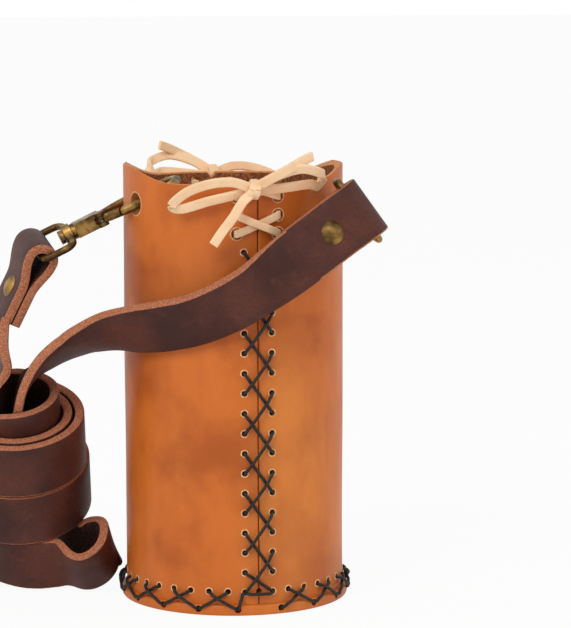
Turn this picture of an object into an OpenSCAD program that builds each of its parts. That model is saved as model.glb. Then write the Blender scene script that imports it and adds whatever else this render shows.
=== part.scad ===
// Bottle carrier: a laced leather sleeve on a laced base disc, with two swivel snap hooks and one long strap.
// +Z is up, -Y is the front with its bow, and the origin is the middle of the base disc's underside.
// Angles round the sleeve are counted from the front towards +X.

/* [Sleeve] */
// Outer radius of the leather sleeve
sleeve_r = 40; // [38:0.5:44]
// Thickness of the sleeve's leather
wall = 3; // [2.6:0.1:3.4]
// Height of the rim at the two sides, over the hooks
peak_z = 159; // [158:1:180]
// How far the rim dips at the front and at the back
rim_dip = 5.5; // [3:0.5:8]
// Turn of both seams off the plane midway between the hooks, in degrees
seam_turn = 6.5; // [0:0.5:10]
// Gap between the two panels along a seam
seam_gap = 0.3; // [0.2:0.05:0.6]
// Depth of the notch where the panels meet at the rim
notch_depth = 2.5; // [1:0.5:5]

/* [Base] */
// Radius of the base disc
base_r = 41.7; // [41.2:0.1:42.5]
// Thickness of the base disc
base_t = 3.8; // [3.2:0.1:5]
// Number of crossed stitches along each panel's foot
base_crosses = 8; // [6:1:9]
// Height of the foot holes
foot_z = 8.5; // [7.5:0.5:10]
// Angle between the two holes of one crossed stitch, in degrees
foot_pair = 9.8; // [8:0.2:11]
// Angle from a seam to the nearest edge hole of the disc, in degrees
edge_start = 11; // [10:0.5:14]

/* [Lacing] */
// Diameter of the waxed black cord
cord_d = 1.2; // [1:0.1:1.4]
// Diameter of the punched cord holes
cord_hole_d = 2.2; // [2:0.1:2.6]
// Distance between the two columns of seam holes
seam_spread = 10; // [8:0.5:12]
// Height of the highest row of seam holes
seam_top_z = 129.8; // [120:0.2:132]
// Distance between two rows of seam holes
seam_pitch = 7.15; // [7:0.05:7.2]
// Number of rows of seam holes
seam_rows = 18; // [14:2:18]

/* [Bow lace] */
// Width of the pale leather lace
lace_w = 3.4; // [3:0.1:4]
// Thickness of the pale leather lace
lace_t = 1.5; // [1.2:0.1:1.8]
// Diameter of the lace holes
lace_hole_d = 4.2; // [4:0.1:4.6]
// Distance between the two columns of lace holes
lace_spread = 14.8; // [13:0.2:16]
// Height of the lowest pair of lace holes
lace_low_z = 136.3; // [135.5:0.1:138]
// Distance between two pairs of lace holes
lace_pitch = 6.5; // [6:0.1:7]

/* [Hook holes] */
// Diameter of the four holes that the hooks pass through
hook_hole_d = 7.8; // [7.6:0.1:9]
// Height of the hook holes
hook_z = 145.5; // [140:0.5:147]
// Angle of the front hole of each pair, in degrees
hook_front_a = 67; // [65:0.5:69]
// Angle of the back hole of each pair, in degrees
hook_back_a = 105; // [103:0.5:107]

/* [Snap hooks] */
// Thickness of the hook's limb
limb = 3.2; // [2.8:0.1:3.3]
// Bevel along the limb's edges
limb_bevel = 0.9; // [0.5:0.1:1]
// Half width of the hook's oval, to the middle of the limb
oval_w = 12; // [11.5:0.1:12.4]
// Half length of the hook's oval, to the middle of the limb
oval_l = 16; // [15.6:0.1:16.4]
// Radius of the oval's two ends
oval_end_r = 9.5; // [9:0.1:10]
// Distance from the middle of the oval to the bar of the eye
bar_u = 40.5; // [40:0.1:42]
// Radius of the gate's pin
pin_r = 0.8; // [0.6:0.05:1]
// Radius of the swivel stud
stud_r = 1.6; // [1.4:0.05:1.8]
// Radius of the collar at the swivel
collar_r = 3; // [2.8:0.1:3.2]
// Diameter of the eye's wire
eye_wire = 2.6; // [2.2:0.1:2.8]

/* [Strap] */
// Width of the strap
strap_w = 21; // [20:0.1:21.2]
// Thickness of the strap's leather
strap_t = 3.4; // [3.3:0.1:3.6]
// Distance from the eye's bar to the cut end of the strap
tail_len = 27; // [24:0.5:30]
// Distance from the left eye's bar to its rivet
left_rivet_at = 16; // [14:0.5:18]
// Distance from the right eye's bar to its rivet
right_rivet_at = 13.5; // [13:0.5:16]
// Diameter of the rivet's domed caps
cap_d = 8.3; // [8:0.1:10]
// Height of the rivet's domed caps
cap_h = 1.7; // [1.2:0.1:2.2]
// Diameter of the rivet's post
post_d = 3; // [2.5:0.1:3.5]

/* [Lie of the hooks and strap] */
// How far the left hook's shank points below the level, in degrees
left_pitch = 25.5; // [24:0.5:27]
// Turn of the left eye about the shank, in degrees
left_turn = 14; // [10:1:20]
// Angle at which the strap hangs off the left eye, in degrees
left_lay = 40; // [36:1:46]
// How far the right hook's shank points below the level, in degrees
right_pitch = -2; // [-4:0.5:-1.5]
// How far the right hook's shank turns out from the line of its holes, in degrees
right_yaw = 1; // [0:0.5:2]
// How far the right hook hangs down from the level about the line of its holes, in degrees
right_roll = 27; // [22:1:30]
// Turn of the right eye about the shank, in degrees
right_turn = 27.5; // [24:0.5:32]
// Angle at which the strap hangs off the right eye, in degrees
right_lay = 75; // [70:1:80]

/* [Strap coil] */
// Middle radius of the coil's outer turns
coil_r = 24.1; // [23.2:0.1:24.5]
// Lean of the coil towards the front, in degrees
coil_lean = 27; // [22:1:30]
// Clearance between turns of the coil
coil_gap = 0.95; // [0.8:0.05:1.2]
// Radius of the small loop at the coil's foot
small_loop_r = 9; // [8.5:0.1:10]

/* [Hidden] */

tan_leather = [0.78, 0.43, 0.2];
dark_leather = [0.3, 0.19, 0.17];
black_cord = [0.12, 0.11, 0.11];
pale_leather = [0.93, 0.77, 0.6];
old_brass = [0.55, 0.44, 0.24];

// One overrun serves all cuts
over = 1;
// Clear space between pieces that lie against each other
lie_gap = 0.15;
// Radial clearances of the pins and studs
run_fit = 0.05;
tight_fit = 0.02;
up = [0, 0, 1];

sleeve_in = sleeve_r - wall;
wall_mid = sleeve_r - wall / 2;
low_z = peak_z - rim_dip;

// Vectors, points on the sleeve and smooth steps

function unit(v) = v / norm(v);
function mix(a, b, t) = a + (b - a) * t;
function ease(t) = t <= 0 ? 0 : t >= 1 ? 1 : t * t * (3 - 2 * t);
function spin(v, k, a) = v * cos(a) + cross(k, v) * sin(a) + k * (k * v) * (1 - cos(a));
function on_round(a, r, z) = [r * sin(a), -r * cos(a), z];

// Places its children so that x, y and z run along the three given directions

module set_in(o, x, y, z) {
    multmatrix([[x[0], y[0], z[0], o[0]], [x[1], y[1], z[1], o[1]], [x[2], y[2], z[2], o[2]], [0, 0, 0, 1]])
        children();
}

// A round hole through the sleeve's wall at angle a and height z

module wall_hole(a, z, d) {
    rotate([0, 0, a]) translate([0, -sleeve_r - over, z]) rotate([-90, 0, 0])
        cylinder(d = d, h = wall + 2 * over, $fn = 24);
}

// The sleeve's two panels

seam_half_a = asin(seam_spread / 2 / sleeve_r);
lace_half_a = asin(lace_spread / 2 / sleeve_r);
gap_half_a = asin(seam_gap / 2 / sleeve_r);
edge_step_a = (180 - 2 * edge_start) / base_crosses;
function row_z(i) = seam_top_z - i * seam_pitch;
function lace_z(i) = lace_low_z + i * lace_pitch;
function edge_a(j) = edge_start + j * edge_step_a;
function cross_a(j) = edge_start + (j + 0.5) * edge_step_a;

// The rim's dip, drawn across the width: flat in the middle, rising towards the sides
dip_flat_share = 0.6;
dip_end_share = 0.966;
dip_steps = 10;
dip_in = sleeve_r * dip_flat_share;
dip_out = sleeve_r * dip_end_share;

module rim_dips() {
    rise = [for (i = [0 : dip_steps])
        [mix(dip_in, dip_out, i / dip_steps), low_z + rim_dip * (1 - cos(90 * i / dip_steps))]];
    left = [for (i = [dip_steps : -1 : 0]) [-rise[i][0], rise[i][1]]];
    top = [[dip_out, peak_z + over], [-dip_out, peak_z + over]];
    rotate([90, 0, 0]) linear_extrude(2 * (sleeve_r + over), center = true)
        polygon(concat(rise, top, left));
}

module seam_notch(a) {
    rotate([0, 0, a]) translate([0, -wall_mid, low_z]) rotate([90, 0, 0])
        linear_extrude(wall + 2 * over, center = true)
            polygon([[0, -notch_depth], [notch_depth, over], [-notch_depth, over]]);
}

// side is 1 for the panel towards +X and -1 for the other
module panel(side) {
    start = side > 0 ? seam_turn : seam_turn + 180;
    difference() {
        rotate([0, 0, start - 90 + gap_half_a]) rotate_extrude(angle = 180 - 2 * gap_half_a, $fn = 96)
            translate([sleeve_in, base_t]) square([wall, peak_z - base_t]);
        rim_dips();
        for (seam = [0, 1]) {
            inward = seam == 0 ? 1 : -1;
            edge = start + 180 * seam;
            for (i = [0 : seam_rows - 1]) wall_hole(edge + inward * seam_half_a, row_z(i), cord_hole_d);
            for (i = [0 : 2]) wall_hole(edge + inward * lace_half_a, lace_z(i), lace_hole_d);
            seam_notch(edge);
            wall_hole(edge, foot_z, cord_hole_d);
        }
        for (j = [0 : base_crosses - 1], s = [-1, 1])
            wall_hole(start + cross_a(j) + s * foot_pair / 2, foot_z, cord_hole_d);
        wall_hole(side * hook_front_a, hook_z, hook_hole_d);
        wall_hole(side * hook_back_a, hook_z, hook_hole_d);
    }
}

module left_panel() { color(tan_leather) panel(-1); }
module right_panel() { color(tan_leather) panel(1); }

// The base disc, with an eased lower edge and a ring of lacing holes in its rim

edge_z = base_t / 2 + 0.1 * base_t;
edge_hole_d = 2.5 * cord_d;
edge_hole_depth = 2.5 * cord_d;
disc_ease = 0.15 * base_t;

module base_disc() {
    color(tan_leather) difference() {
        rotate_extrude($fn = 120) polygon([[0, 0], [base_r - disc_ease, 0], [base_r, disc_ease],
                                           [base_r, base_t - disc_ease], [base_r - disc_ease, base_t], [0, base_t]]);
        for (seam = [0, 180], j = [0 : base_crosses])
            rotate([0, 0, seam_turn + seam + edge_a(j)]) translate([0, -base_r - over, edge_z])
                rotate([-90, 0, 0]) cylinder(d = edge_hole_d, h = edge_hole_depth + over, $fn = 16);
    }
}

// Tubes and bands swept along their own points

cord_sides = 6;

function tangents(p) = [for (i = [0 : len(p) - 1]) unit(p[min(i + 1, len(p) - 1)] - p[max(i - 1, 0)])];

// A ring of points round p, across direction t, with its first point towards n
function ring(p, t, n, r) = let (w = unit(n - t * (n * t)), b = cross(t, w))
    [for (k = [0 : cord_sides - 1]) p + r * (w * cos(360 * k / cord_sides) + b * sin(360 * k / cord_sides))];

// Skins rings of s points each into a closed solid
module skin(rings, s) {
    n = len(rings);
    points = [for (r = rings) each r];
    sides = [for (i = [0 : n - 2], k = [0 : s - 1]) let (a = i * s + k, b = i * s + (k + 1) % s)
        each [[a, b + s, b], [a, a + s, b + s]]];
    caps = [[for (k = [0 : s - 1]) k], [for (k = [s - 1 : -1 : 0]) (n - 1) * s + k]];
    polyhedron(points, concat(sides, caps));
}

module tube(points, normals, r) {
    t = tangents(points);
    skin([for (i = [0 : len(points) - 1]) ring(points[i], t[i], normals[i], r)], cord_sides);
}

// A route written as [angle, height, radius] turned into points, with the outward direction at each as normal
function round_points(q) = [for (c = q) on_round(c[0], c[2], c[1])];
function round_normals(q) = [for (c = q) on_round(c[0] + 40, 1, 0) + up * 0.5];

// Black cord: seam lacing, two rows down and one row back up, first from one side and then from the other

cord_r = cord_d / 2;
cord_out = sleeve_r + cord_r + lie_gap;
cord_in = sleeve_in - cord_r - lie_gap;
cord_over = cord_out + cord_d + lie_gap;

// A strand over the outside from hole a0, z0 to hole a1, z1; high strands pass over the others
function strand(a0, z0, a1, z1, high) = let (top = high ? cord_over : cord_out) [
    [a0, z0, cord_in], [a0, z0, cord_out - cord_r],
    for (t = [0.1, 0.25, 0.5, 0.75, 0.9])
        [mix(a0, a1, t), mix(z0, z1, t), t < 0.2 || t > 0.8 ? mix(cord_out, top, 0.45) : top],
    [a1, z1, cord_out - cord_r], [a1, z1, cord_in]];

function seam_route(a) = let (l = a - seam_half_a, r = a + seam_half_a) [
    for (k = [0 : seam_rows / 2 - 2]) each concat(
        strand(l, row_z(2 * k), r, row_z(2 * k + 2), false),
        strand(r, row_z(2 * k + 1), l, row_z(2 * k + 3), true)),
    each strand(l, row_z(seam_rows - 2), r, row_z(seam_rows - 1), false)];

module seam_cord(a) {
    q = seam_route(a);
    tube(round_points(q), round_normals(q), cord_r);
}

module front_seam_cord() { color(black_cord) seam_cord(seam_turn); }
module back_seam_cord() { color(black_cord) seam_cord(seam_turn + 180); }

// Black cord round the foot: up from an edge hole to the far hole of a pair, back inside, and down to the next edge hole

edge_in = base_r - cord_d;
edge_out = base_r + cord_r + lie_gap;

function foot_strand(a0, a1, high) = let (mid_r = high ? edge_out + cord_d + lie_gap : edge_out) [
    [mix(a0, a1, 0.12), mix(edge_z, foot_z, 0.1), edge_out],
    [mix(a0, a1, 0.35), mix(edge_z, foot_z, 0.35), mix(edge_out, mid_r, 0.7)],
    [mix(a0, a1, 0.65), mix(edge_z, foot_z, 0.65), mid_r],
    [mix(a0, a1, 0.9), mix(edge_z, foot_z, 0.92), cord_out + cord_r / 2]];

function foot_route(start) = [
    [start, foot_z, cord_in], [start, foot_z, cord_out],
    each [for (j = [0 : base_crosses - 1]) each let (
        v0 = start + edge_a(j), v1 = start + edge_a(j + 1),
        near = start + cross_a(j) - foot_pair / 2, far = start + cross_a(j) + foot_pair / 2) concat(
            [[v0, edge_z, edge_in]],
            foot_strand(v0, far, false),
            [[far, foot_z, cord_in], [near, foot_z, cord_in]],
            [for (i = [3 : -1 : 0]) foot_strand(v1, near, true)[i]])],
    [start + edge_a(base_crosses), edge_z, edge_in]];

module foot_cord(start) {
    q = foot_route(start);
    tube(round_points(q), round_normals(q), cord_r);
}

module right_base_cord() { color(black_cord) foot_cord(seam_turn); }
module left_base_cord() { color(black_cord) foot_cord(seam_turn + 180); }

// Pale lace: two crossed strands through the lower holes, two more up to the knot, and a bow

lace_out = sleeve_r + lace_t / 2 + lie_gap;
lace_in = sleeve_in - lace_t / 2 - lie_gap;
lace_over = lace_out + lace_t + lie_gap;
knot_r = 1.15 * lace_w;
knot_a = -3.5;
knot_z = low_z - 0.4 * lace_w;
knot_out = sleeve_r + 1.2 * lace_w;
lace_pass_w = 0.8 * lace_w;

// A flat band through points p, broad across directions b
module band(p, b, w, t) {
    l = tangents(p);
    skin([for (i = [0 : len(p) - 1]) let (x = unit(b[i] - l[i] * (b[i] * l[i])), n = cross(l[i], x))
        [p[i] + x * w / 2 + n * t / 2, p[i] - x * w / 2 + n * t / 2,
         p[i] - x * w / 2 - n * t / 2, p[i] + x * w / 2 - n * t / 2]], 4);
}

function band_steps(q) = [for (i = [0 : len(q) - 2], t = [0 : 0.25 : 0.99]) curve(q, i, t)];
function curve(q, i, t) = let (a = q[max(i - 1, 0)], b = q[i], c = q[i + 1], d = q[min(i + 2, len(q) - 1)])
    0.5 * (2 * b + (c - a) * t + (2 * a - 5 * b + 4 * c - d) * t * t + (3 * b - a - 3 * c + d) * t * t * t);
function smooth(q) = concat(band_steps(q), [q[len(q) - 1]]);

function lace_strand(a0, z0, a1, z1, mid) = [
    [a0, z0, lace_in], [a0, z0, lace_out - lace_t / 4],
    [mix(a0, a1, 0.25), mix(z0, z1, 0.25), mid], [mix(a0, a1, 0.5), mix(z0, z1, 0.5), mid],
    [mix(a0, a1, 0.75), mix(z0, z1, 0.75), mid],
    [a1, z1, lace_out - lace_t / 4], [a1, z1, lace_in]];

// The bow's loops and tails as [across, out, up] from the knot, in lace widths, and each one's broad direction
bow_left_shares = [[-0.5, 0.4, 0.25], [-2.2, 0.65, 0.8], [-4.4, 0.3, 0.65], [-6.6, -0.8, -0.2], [-8.1, -1.7, -1.6],
                   [-7.1, -1.8, -2], [-4.6, -0.5, -1.2], [-2.3, -0.1, -0.65], [-0.5, -0.3, -0.25]];
bow_right_shares = [[0.5, 0.4, 0.25], [2.4, 0.9, 1.4], [4.9, 1, 2.1], [7, 0.1, 1.6], [7.7, -1.9, 1],
                    [7.1, -2.1, 0.1], [6, -0.7, 0.4], [3, 0.1, 0.1], [0.5, -0.3, -0.2]];
tail_low_shares = [[-0.35, 0.55, -0.5], [-1.2, 0.9, -1.2], [-2.2, 0.8, -2.8], [-3.2, 0.4, -4.2], [-4.1, 0.1, -5.6]];
tail_high_shares = [[0.4, 0.75, 0.4], [1.7, 1.5, 1.2], [3.4, 1.6, 2.1], [5.1, 0.6, 2.9], [6.2, -0.1, 3.3]];
knot_shares = [[0, -0.8], [0.7, -0.8], [1, -0.35], [1, 0.35], [0.7, 0.8], [0, 0.8]];

module bow_piece(shares, broad) {
    p = smooth([for (s = shares) s * lace_w]);
    band([for (v = p) [v[0], -v[1], v[2]]], [for (v = p) broad], lace_w, lace_t);
}

// A strand inside the sleeve, from one hole to the next
module inner_lace(a0, z0, a1, z1, broad) {
    past = lace_pass_w / 2;
    da = a1 > a0 ? past / lace_in * 180 / PI : 0;
    dz = z1 > z0 ? past : 0;
    q = [for (t = [0 : 0.25 : 1]) [mix(a0 - da, a1 + da, t), mix(z0 - dz, z1 + dz, t), lace_in]];
    band(round_points(q), [for (c = q) broad], lace_pass_w, lace_t);
}

module lace(a) {
    l = a - lace_half_a;
    r = a + lace_half_a;
    for (q = [lace_strand(l, lace_z(0), r, lace_z(1), lace_out), lace_strand(r, lace_z(0), l, lace_z(1), lace_over)])
        band(round_points(q), [for (c = q) up + on_round(c[0], 0.1, 0)], lace_pass_w, lace_t);
    inner_lace(l, lace_z(0), r, lace_z(0), up);
    for (side = [-1, 1]) {
        h = a + side * lace_half_a;
        inner_lace(h, lace_z(1), h, lace_z(2), on_round(h + 90, 1, 0));
        q = [[h, lace_z(2), lace_in], [h, lace_z(2), lace_out - lace_t / 4],
             [mix(h, a + knot_a, 0.35), mix(lace_z(2), knot_z, 0.4), mix(lace_out, knot_out, 0.55)],
             [mix(h, a + knot_a, 0.85), knot_z, knot_out - lace_t]];
        band(round_points(q), [for (c = q) up], lace_pass_w, lace_t);
    }
    rotate([0, 0, a + knot_a]) translate([0, -knot_out, knot_z]) {
        rotate([0, 75, 0]) rotate_extrude($fn = 20) polygon(knot_shares * knot_r);
        bow_piece(bow_left_shares, [0.1, -0.45, 1]);
        bow_piece(bow_right_shares, [-0.2, -0.5, 1]);
        bow_piece(tail_low_shares, [0.8, -0.2, -0.5]);
        bow_piece(tail_high_shares, [-0.5, -0.3, 0.8]);
    }
}

module front_lace() { color(pale_leather) lace(seam_turn); }
module back_lace() { color(pale_leather) lace(seam_turn + 180); }

// Directions and places of the two hooks. A hook passes through both holes of its side, so that it swings about
// the line through their middles. u runs along its shank to the eye, v from its gate to its spine.

left_hole_f = on_round(-hook_front_a, wall_mid, hook_z);
left_hole_b = on_round(-hook_back_a, wall_mid, hook_z);
left_line = unit(left_hole_b - left_hole_f);
left_u = cos(left_pitch) * cross(up, left_line) - sin(left_pitch) * up;
left_v = left_line;
// How far the left hook has slid out through its holes
left_slide = -1.2;
left_o = (left_hole_f + left_hole_b) / 2 + left_slide * left_u;
left_bar = left_o + bar_u * left_u;
left_b = spin(left_v, left_u, -left_turn);
left_d = spin(left_u, left_b, -left_lay);
left_n = cross(left_b, left_d);

right_hole_f = on_round(hook_front_a, wall_mid, hook_z);
right_hole_b = on_round(hook_back_a, wall_mid, hook_z);
right_line = unit(right_hole_b - right_hole_f);
right_out = cross(right_line, up);
// How far the middle of the right hook stands outside the line of its holes
right_stand = 6.3;
right_u = unit(cos(right_pitch) * (sin(right_yaw) * right_out - cos(right_yaw) * right_line) - sin(right_pitch) * up);
right_w = unit(-up - right_u * (-up * right_u));
right_v = spin(cross(right_w, right_u), right_u, -right_roll);
right_o = (right_hole_f + right_hole_b) / 2 + right_stand * spin(right_out, right_line, right_roll);
right_bar = right_o + bar_u * right_u;
right_b = spin(right_v, right_u, -right_turn);
right_d = spin(right_u, right_b, -right_lay);
right_n = cross(right_b, right_d);

module on_left_hook() { set_in(left_o, left_u, left_v, cross(left_u, left_v)) children(); }
module on_right_hook() { set_in(right_o, right_u, right_v, cross(right_u, right_v)) children(); }

// The snap hook, in its own plane: an oval limb of four arcs, open at the gate

end_u = oval_l - oval_end_r;
side_r = (oval_end_r * oval_end_r - end_u * end_u - oval_w * oval_w) / (2 * (oval_end_r - oval_w));
side_v = side_r - oval_w;
meet_a = atan2(side_v, end_u);
nose_a = 291;
gate_a = 294;
joint_slant = 24;
knuckle_a = -27;
pin_u = end_u + oval_end_r * cos(knuckle_a);
pin_v = oval_end_r * sin(knuckle_a);
knuckle_r = 2.4 * pin_r;
fork_w = 1.7 * limb;
slot_w = 0.75 * limb;
gate_t = 0.72 * limb;
base_u = end_u + oval_end_r - limb / 2;
neck_u = bar_u - 15.5;
collar_t = 0.42 * limb;
hub_t = 0.9 * limb;
head_t = 0.5 * limb;
head_r = 1.6 * stud_r;
hub_gap = 0.25;
joint_u = neck_u + collar_t + hub_gap;
head_u = joint_u + hub_t + hub_gap;

module limb_shape(t) {
    h = limb / 2;
    b = limb_bevel;
    polygon([[-t / 2 + b, -h], [t / 2 - b, -h], [t / 2, -h + b], [t / 2, h - b],
             [t / 2 - b, h], [-t / 2 + b, h], [-t / 2, h - b], [-t / 2, -h + b]]);
}

module limb_arc(u, v, r, a0, a1, t) {
    translate([u, v, 0]) rotate([0, 0, a0]) rotate_extrude(angle = a1 - a0, $fn = 72)
        translate([r, 0]) limb_shape(t);
}

// The slanted cut between nose and gate: keeps what lies before it, or behind it
module joint_side(a, keep) {
    translate([side_r * cos(a), side_v + side_r * sin(a), 0]) rotate([0, 0, a + joint_slant])
        translate([-2 * limb, keep > 0 ? 0 : -4 * limb, -limb]) cube([4 * limb, 4 * limb, 2 * limb]);
}

module hook_body() {
    difference() {
        union() {
            limb_arc(end_u, 0, oval_end_r, 0, meet_a, limb);
            limb_arc(0, -side_v, side_r, meet_a, 180 - meet_a, limb);
            limb_arc(-end_u, 0, oval_end_r, 180 - meet_a, 180 + meet_a, limb);
            for (a = [meet_a, 180 - meet_a, 180 + meet_a])
                translate([side_r * cos(a), side_r * sin(a) - sign(sin(a)) * side_v, 0]) sphere(d = limb - limb_bevel, $fn = 16);
            difference() {
                limb_arc(0, side_v, side_r, 180 + meet_a, nose_a + 8, limb);
                joint_side(nose_a, 1);
            }
            translate([pin_u, pin_v, 0]) cylinder(r = knuckle_r, h = fork_w, center = true, $fn = 32);
            translate([pin_u, pin_v, -fork_w / 2]) cube([neck_u - pin_u, -2 * pin_v, fork_w]);
            rotate([0, 90, 0]) rotate_extrude($fn = 32) polygon([
                [0, base_u], [fork_w / 2, base_u], [collar_r - collar_t / 4, neck_u], [collar_r, neck_u],
                [collar_r, neck_u + collar_t], [stud_r, neck_u + collar_t], [stud_r, head_u], [head_r, head_u],
                [head_r, head_u + head_t], [0, head_u + head_t]]);
        }
        translate([pin_u, pin_v, 0]) cylinder(r = pin_r + tight_fit, h = fork_w + over, center = true, $fn = 32);
        translate([pin_u, pin_v, 0]) rotate([0, 0, -150]) translate([-knuckle_r - 2 * lie_gap, -4 * knuckle_r, -slot_w / 2])
            cube([2 * knuckle_r + 4 * lie_gap, 5.2 * knuckle_r, slot_w]);
    }
}

module gate_pin() {
    translate([pin_u, pin_v, 0]) cylinder(r = pin_r, h = fork_w, center = true, $fn = 32);
}

// The gate's knuckle and the spring share the slot of the fork
spring_wire = 0.28 * pin_r;
spring_turns = 3;
spring_h = spring_turns * (spring_wire + 0.35 * spring_wire);
spring_steps = 12;
knuckle_w = slot_w - spring_h - spring_wire - 3 * lie_gap;
knuckle_z = -slot_w / 2 + lie_gap;

module gate() {
    arm_a = knuckle_a - 16;
    arm_u = end_u + oval_end_r * cos(arm_a) - pin_u;
    arm_v = oval_end_r * sin(arm_a) - pin_v;
    arm_turn = atan2(arm_v, arm_u);
    arm_l = norm([arm_u, arm_v]) + gate_t / 4;
    difference() {
        union() {
            difference() {
                union() {
                    limb_arc(0, side_v, side_r, gate_a - 6, 360 - meet_a, gate_t);
                    limb_arc(end_u, 0, oval_end_r, -meet_a, arm_a, gate_t);
                    translate([end_u + oval_end_r * cos(meet_a), -oval_end_r * sin(meet_a), 0])
                        sphere(d = gate_t - limb_bevel / 2, $fn = 16);
                }
                joint_side(gate_a, -1);
            }
            translate([pin_u, pin_v, knuckle_z]) cylinder(r = knuckle_r, h = knuckle_w, $fn = 32);
            translate([pin_u, pin_v, knuckle_z]) rotate([0, 0, arm_turn]) translate([0, -gate_t / 4, 0])
                cube([arm_l, gate_t / 2, knuckle_w]);
        }
        translate([pin_u, pin_v, 0]) cylinder(r = pin_r + run_fit, h = fork_w, center = true, $fn = 32);
    }
}

// A small coil on the pin, beside the knuckle, pushes the gate shut
module gate_spring() {
    z0 = knuckle_z + knuckle_w + lie_gap + spring_wire / 2;
    r = pin_r + 2 * tight_fit + spring_wire / 2;
    p = [for (i = [0 : spring_turns * spring_steps]) let (a = 360 * i / spring_steps)
        [pin_u + r * cos(a), pin_v + r * sin(a), z0 + spring_h * i / (spring_turns * spring_steps)]];
    tube(p, [for (i = [0 : len(p) - 1]) up], spring_wire / 2);
}

module left_hook_body() { color(old_brass) on_left_hook() hook_body(); }
module left_gate() { color(old_brass) on_left_hook() gate(); }
module left_gate_pin() { color(old_brass) on_left_hook() gate_pin(); }
module left_gate_spring() { color("silver") on_left_hook() gate_spring(); }
module right_hook_body() { color(old_brass) on_right_hook() hook_body(); }
module right_gate() { color(old_brass) on_right_hook() gate(); }
module right_gate_pin() { color(old_brass) on_right_hook() gate_pin(); }
module right_gate_spring() { color("silver") on_right_hook() gate_spring(); }

// The swivel eye: a hub on the stud and a D of round wire. x runs along the shank and z along the bar.

eye_half = strap_w / 2 + eye_wire / 2 + 0.5;
hub_r = 1.25 * collar_r;
hub_mid = joint_u + hub_t / 2;
top_bend = 4;
low_bend = 2.4;

module wire_bend(x, z, r, a) {
    translate([x, 0, z]) rotate([90, 0, 0]) rotate([0, 0, a]) rotate_extrude(angle = 90, $fn = 48)
        translate([r, 0]) circle(d = eye_wire, $fn = 20);
}

module eye() {
    difference() {
        union() {
            translate([joint_u, 0, 0]) rotate([0, 90, 0]) cylinder(r = hub_r, h = hub_t, $fn = 32);
            translate([hub_mid, 0, 0]) cylinder(d = eye_wire, h = 2 * (eye_half - top_bend), center = true, $fn = 20);
            for (s = [-1, 1]) {
                wire_bend(hub_mid + top_bend, s * (eye_half - top_bend), top_bend, s > 0 ? 90 : 180);
                translate([hub_mid + top_bend, 0, s * eye_half]) rotate([0, 90, 0])
                    cylinder(d = eye_wire, h = bar_u - hub_mid - top_bend - low_bend, $fn = 20);
                wire_bend(bar_u - low_bend, s * (eye_half - low_bend), low_bend, s > 0 ? 0 : 270);
            }
            translate([bar_u, 0, 0]) cylinder(d = eye_wire, h = 2 * (eye_half - low_bend), center = true, $fn = 20);
        }
        translate([joint_u - over, 0, 0]) rotate([0, 90, 0])
            cylinder(r = stud_r + run_fit, h = hub_t + 2 * over, $fn = 32);
        translate([joint_u + hub_t, 0, 0]) rotate([0, 90, 0]) cylinder(r = head_r + hub_gap, h = 2 * head_t, $fn = 32);
    }
}

module left_eye() { color(old_brass) set_in(left_o, left_u, cross(left_b, left_u), left_b) eye(); }
module right_eye() { color(old_brass) set_in(right_o, right_u, cross(right_b, right_u), right_b) eye(); }

// A strap end: once round the bar, the two layers held together by the rivet. x runs away from the bar, y to the
// strap's outer face and z along the bar.

leg_gap = 0.1;
leg_y = strap_t / 2 + leg_gap / 2;
bulb_r = strap_t / 2 + 2 * eye_wire / 2 + lie_gap;
bulb_x = bulb_r - strap_t / 2 - eye_wire / 2 - 2 * lie_gap;
meet_before = 2;
loop_steps = 8;

function leg(x, meet) = leg_y + (bulb_r - leg_y) * (0.5 + 0.5 * cos(180 * (x - bulb_x) / (meet - bulb_x)));
function loop_path(meet) = concat(
    [[tail_len, leg_y]],
    [for (i = [0 : loop_steps]) let (x = mix(meet, bulb_x, i / loop_steps)) [x, leg(x, meet)]],
    [for (i = [1 : 2 * loop_steps - 1]) let (a = 90 + 90 * i / loop_steps) [bulb_x + bulb_r * cos(a), bulb_r * sin(a)]],
    [for (i = [0 : loop_steps]) let (x = mix(bulb_x, meet, i / loop_steps)) [x, -leg(x, meet)]],
    [[tail_len, -leg_y]]);

function shifted(p, by) = [for (i = [0 : len(p) - 1])
    let (t = unit(p[min(i + 1, len(p) - 1)] - p[max(i - 1, 0)])) p[i] + by * [-t[1], t[0]]];
function backwards(p) = [for (i = [len(p) - 1 : -1 : 0]) p[i]];

module strap_end(rivet_at) {
    path = loop_path(rivet_at - meet_before);
    difference() {
        linear_extrude(strap_w, center = true)
            polygon(concat(shifted(path, strap_t / 2), backwards(shifted(path, -strap_t / 2))));
        translate([rivet_at, 0, 0]) rotate([90, 0, 0])
            cylinder(d = post_d + 2 * run_fit, h = 4 * strap_t, center = true, $fn = 24);
    }
}

dome_r = (cap_d * cap_d / 4 + cap_h * cap_h) / (2 * cap_h);

module dome() {
    intersection() {
        translate([0, 0, cap_h - dome_r]) sphere(r = dome_r, $fn = 48);
        cylinder(d = cap_d, h = cap_h, $fn = 48);
    }
}

cap_y = strap_t + leg_gap / 2 + run_fit;
socket_depth = 0.5 * strap_t;

module rivet_cap(rivet_at) {
    translate([rivet_at, cap_y, 0]) rotate([-90, 0, 0]) dome();
    translate([rivet_at, cap_y - socket_depth, 0]) rotate([-90, 0, 0]) cylinder(d = post_d, h = socket_depth, $fn = 24);
}

module rivet_post(rivet_at) {
    translate([rivet_at, -cap_y, 0]) rotate([90, 0, 0]) dome();
    translate([rivet_at, -cap_y, 0]) rotate([-90, 0, 0])
        cylinder(d = post_d, h = 2 * cap_y - socket_depth - lie_gap, $fn = 24);
}

module at_left_bar() { set_in(left_bar, left_d, left_n, left_b) children(); }
module at_right_bar() { set_in(right_bar, right_d, right_n, right_b) children(); }

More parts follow.
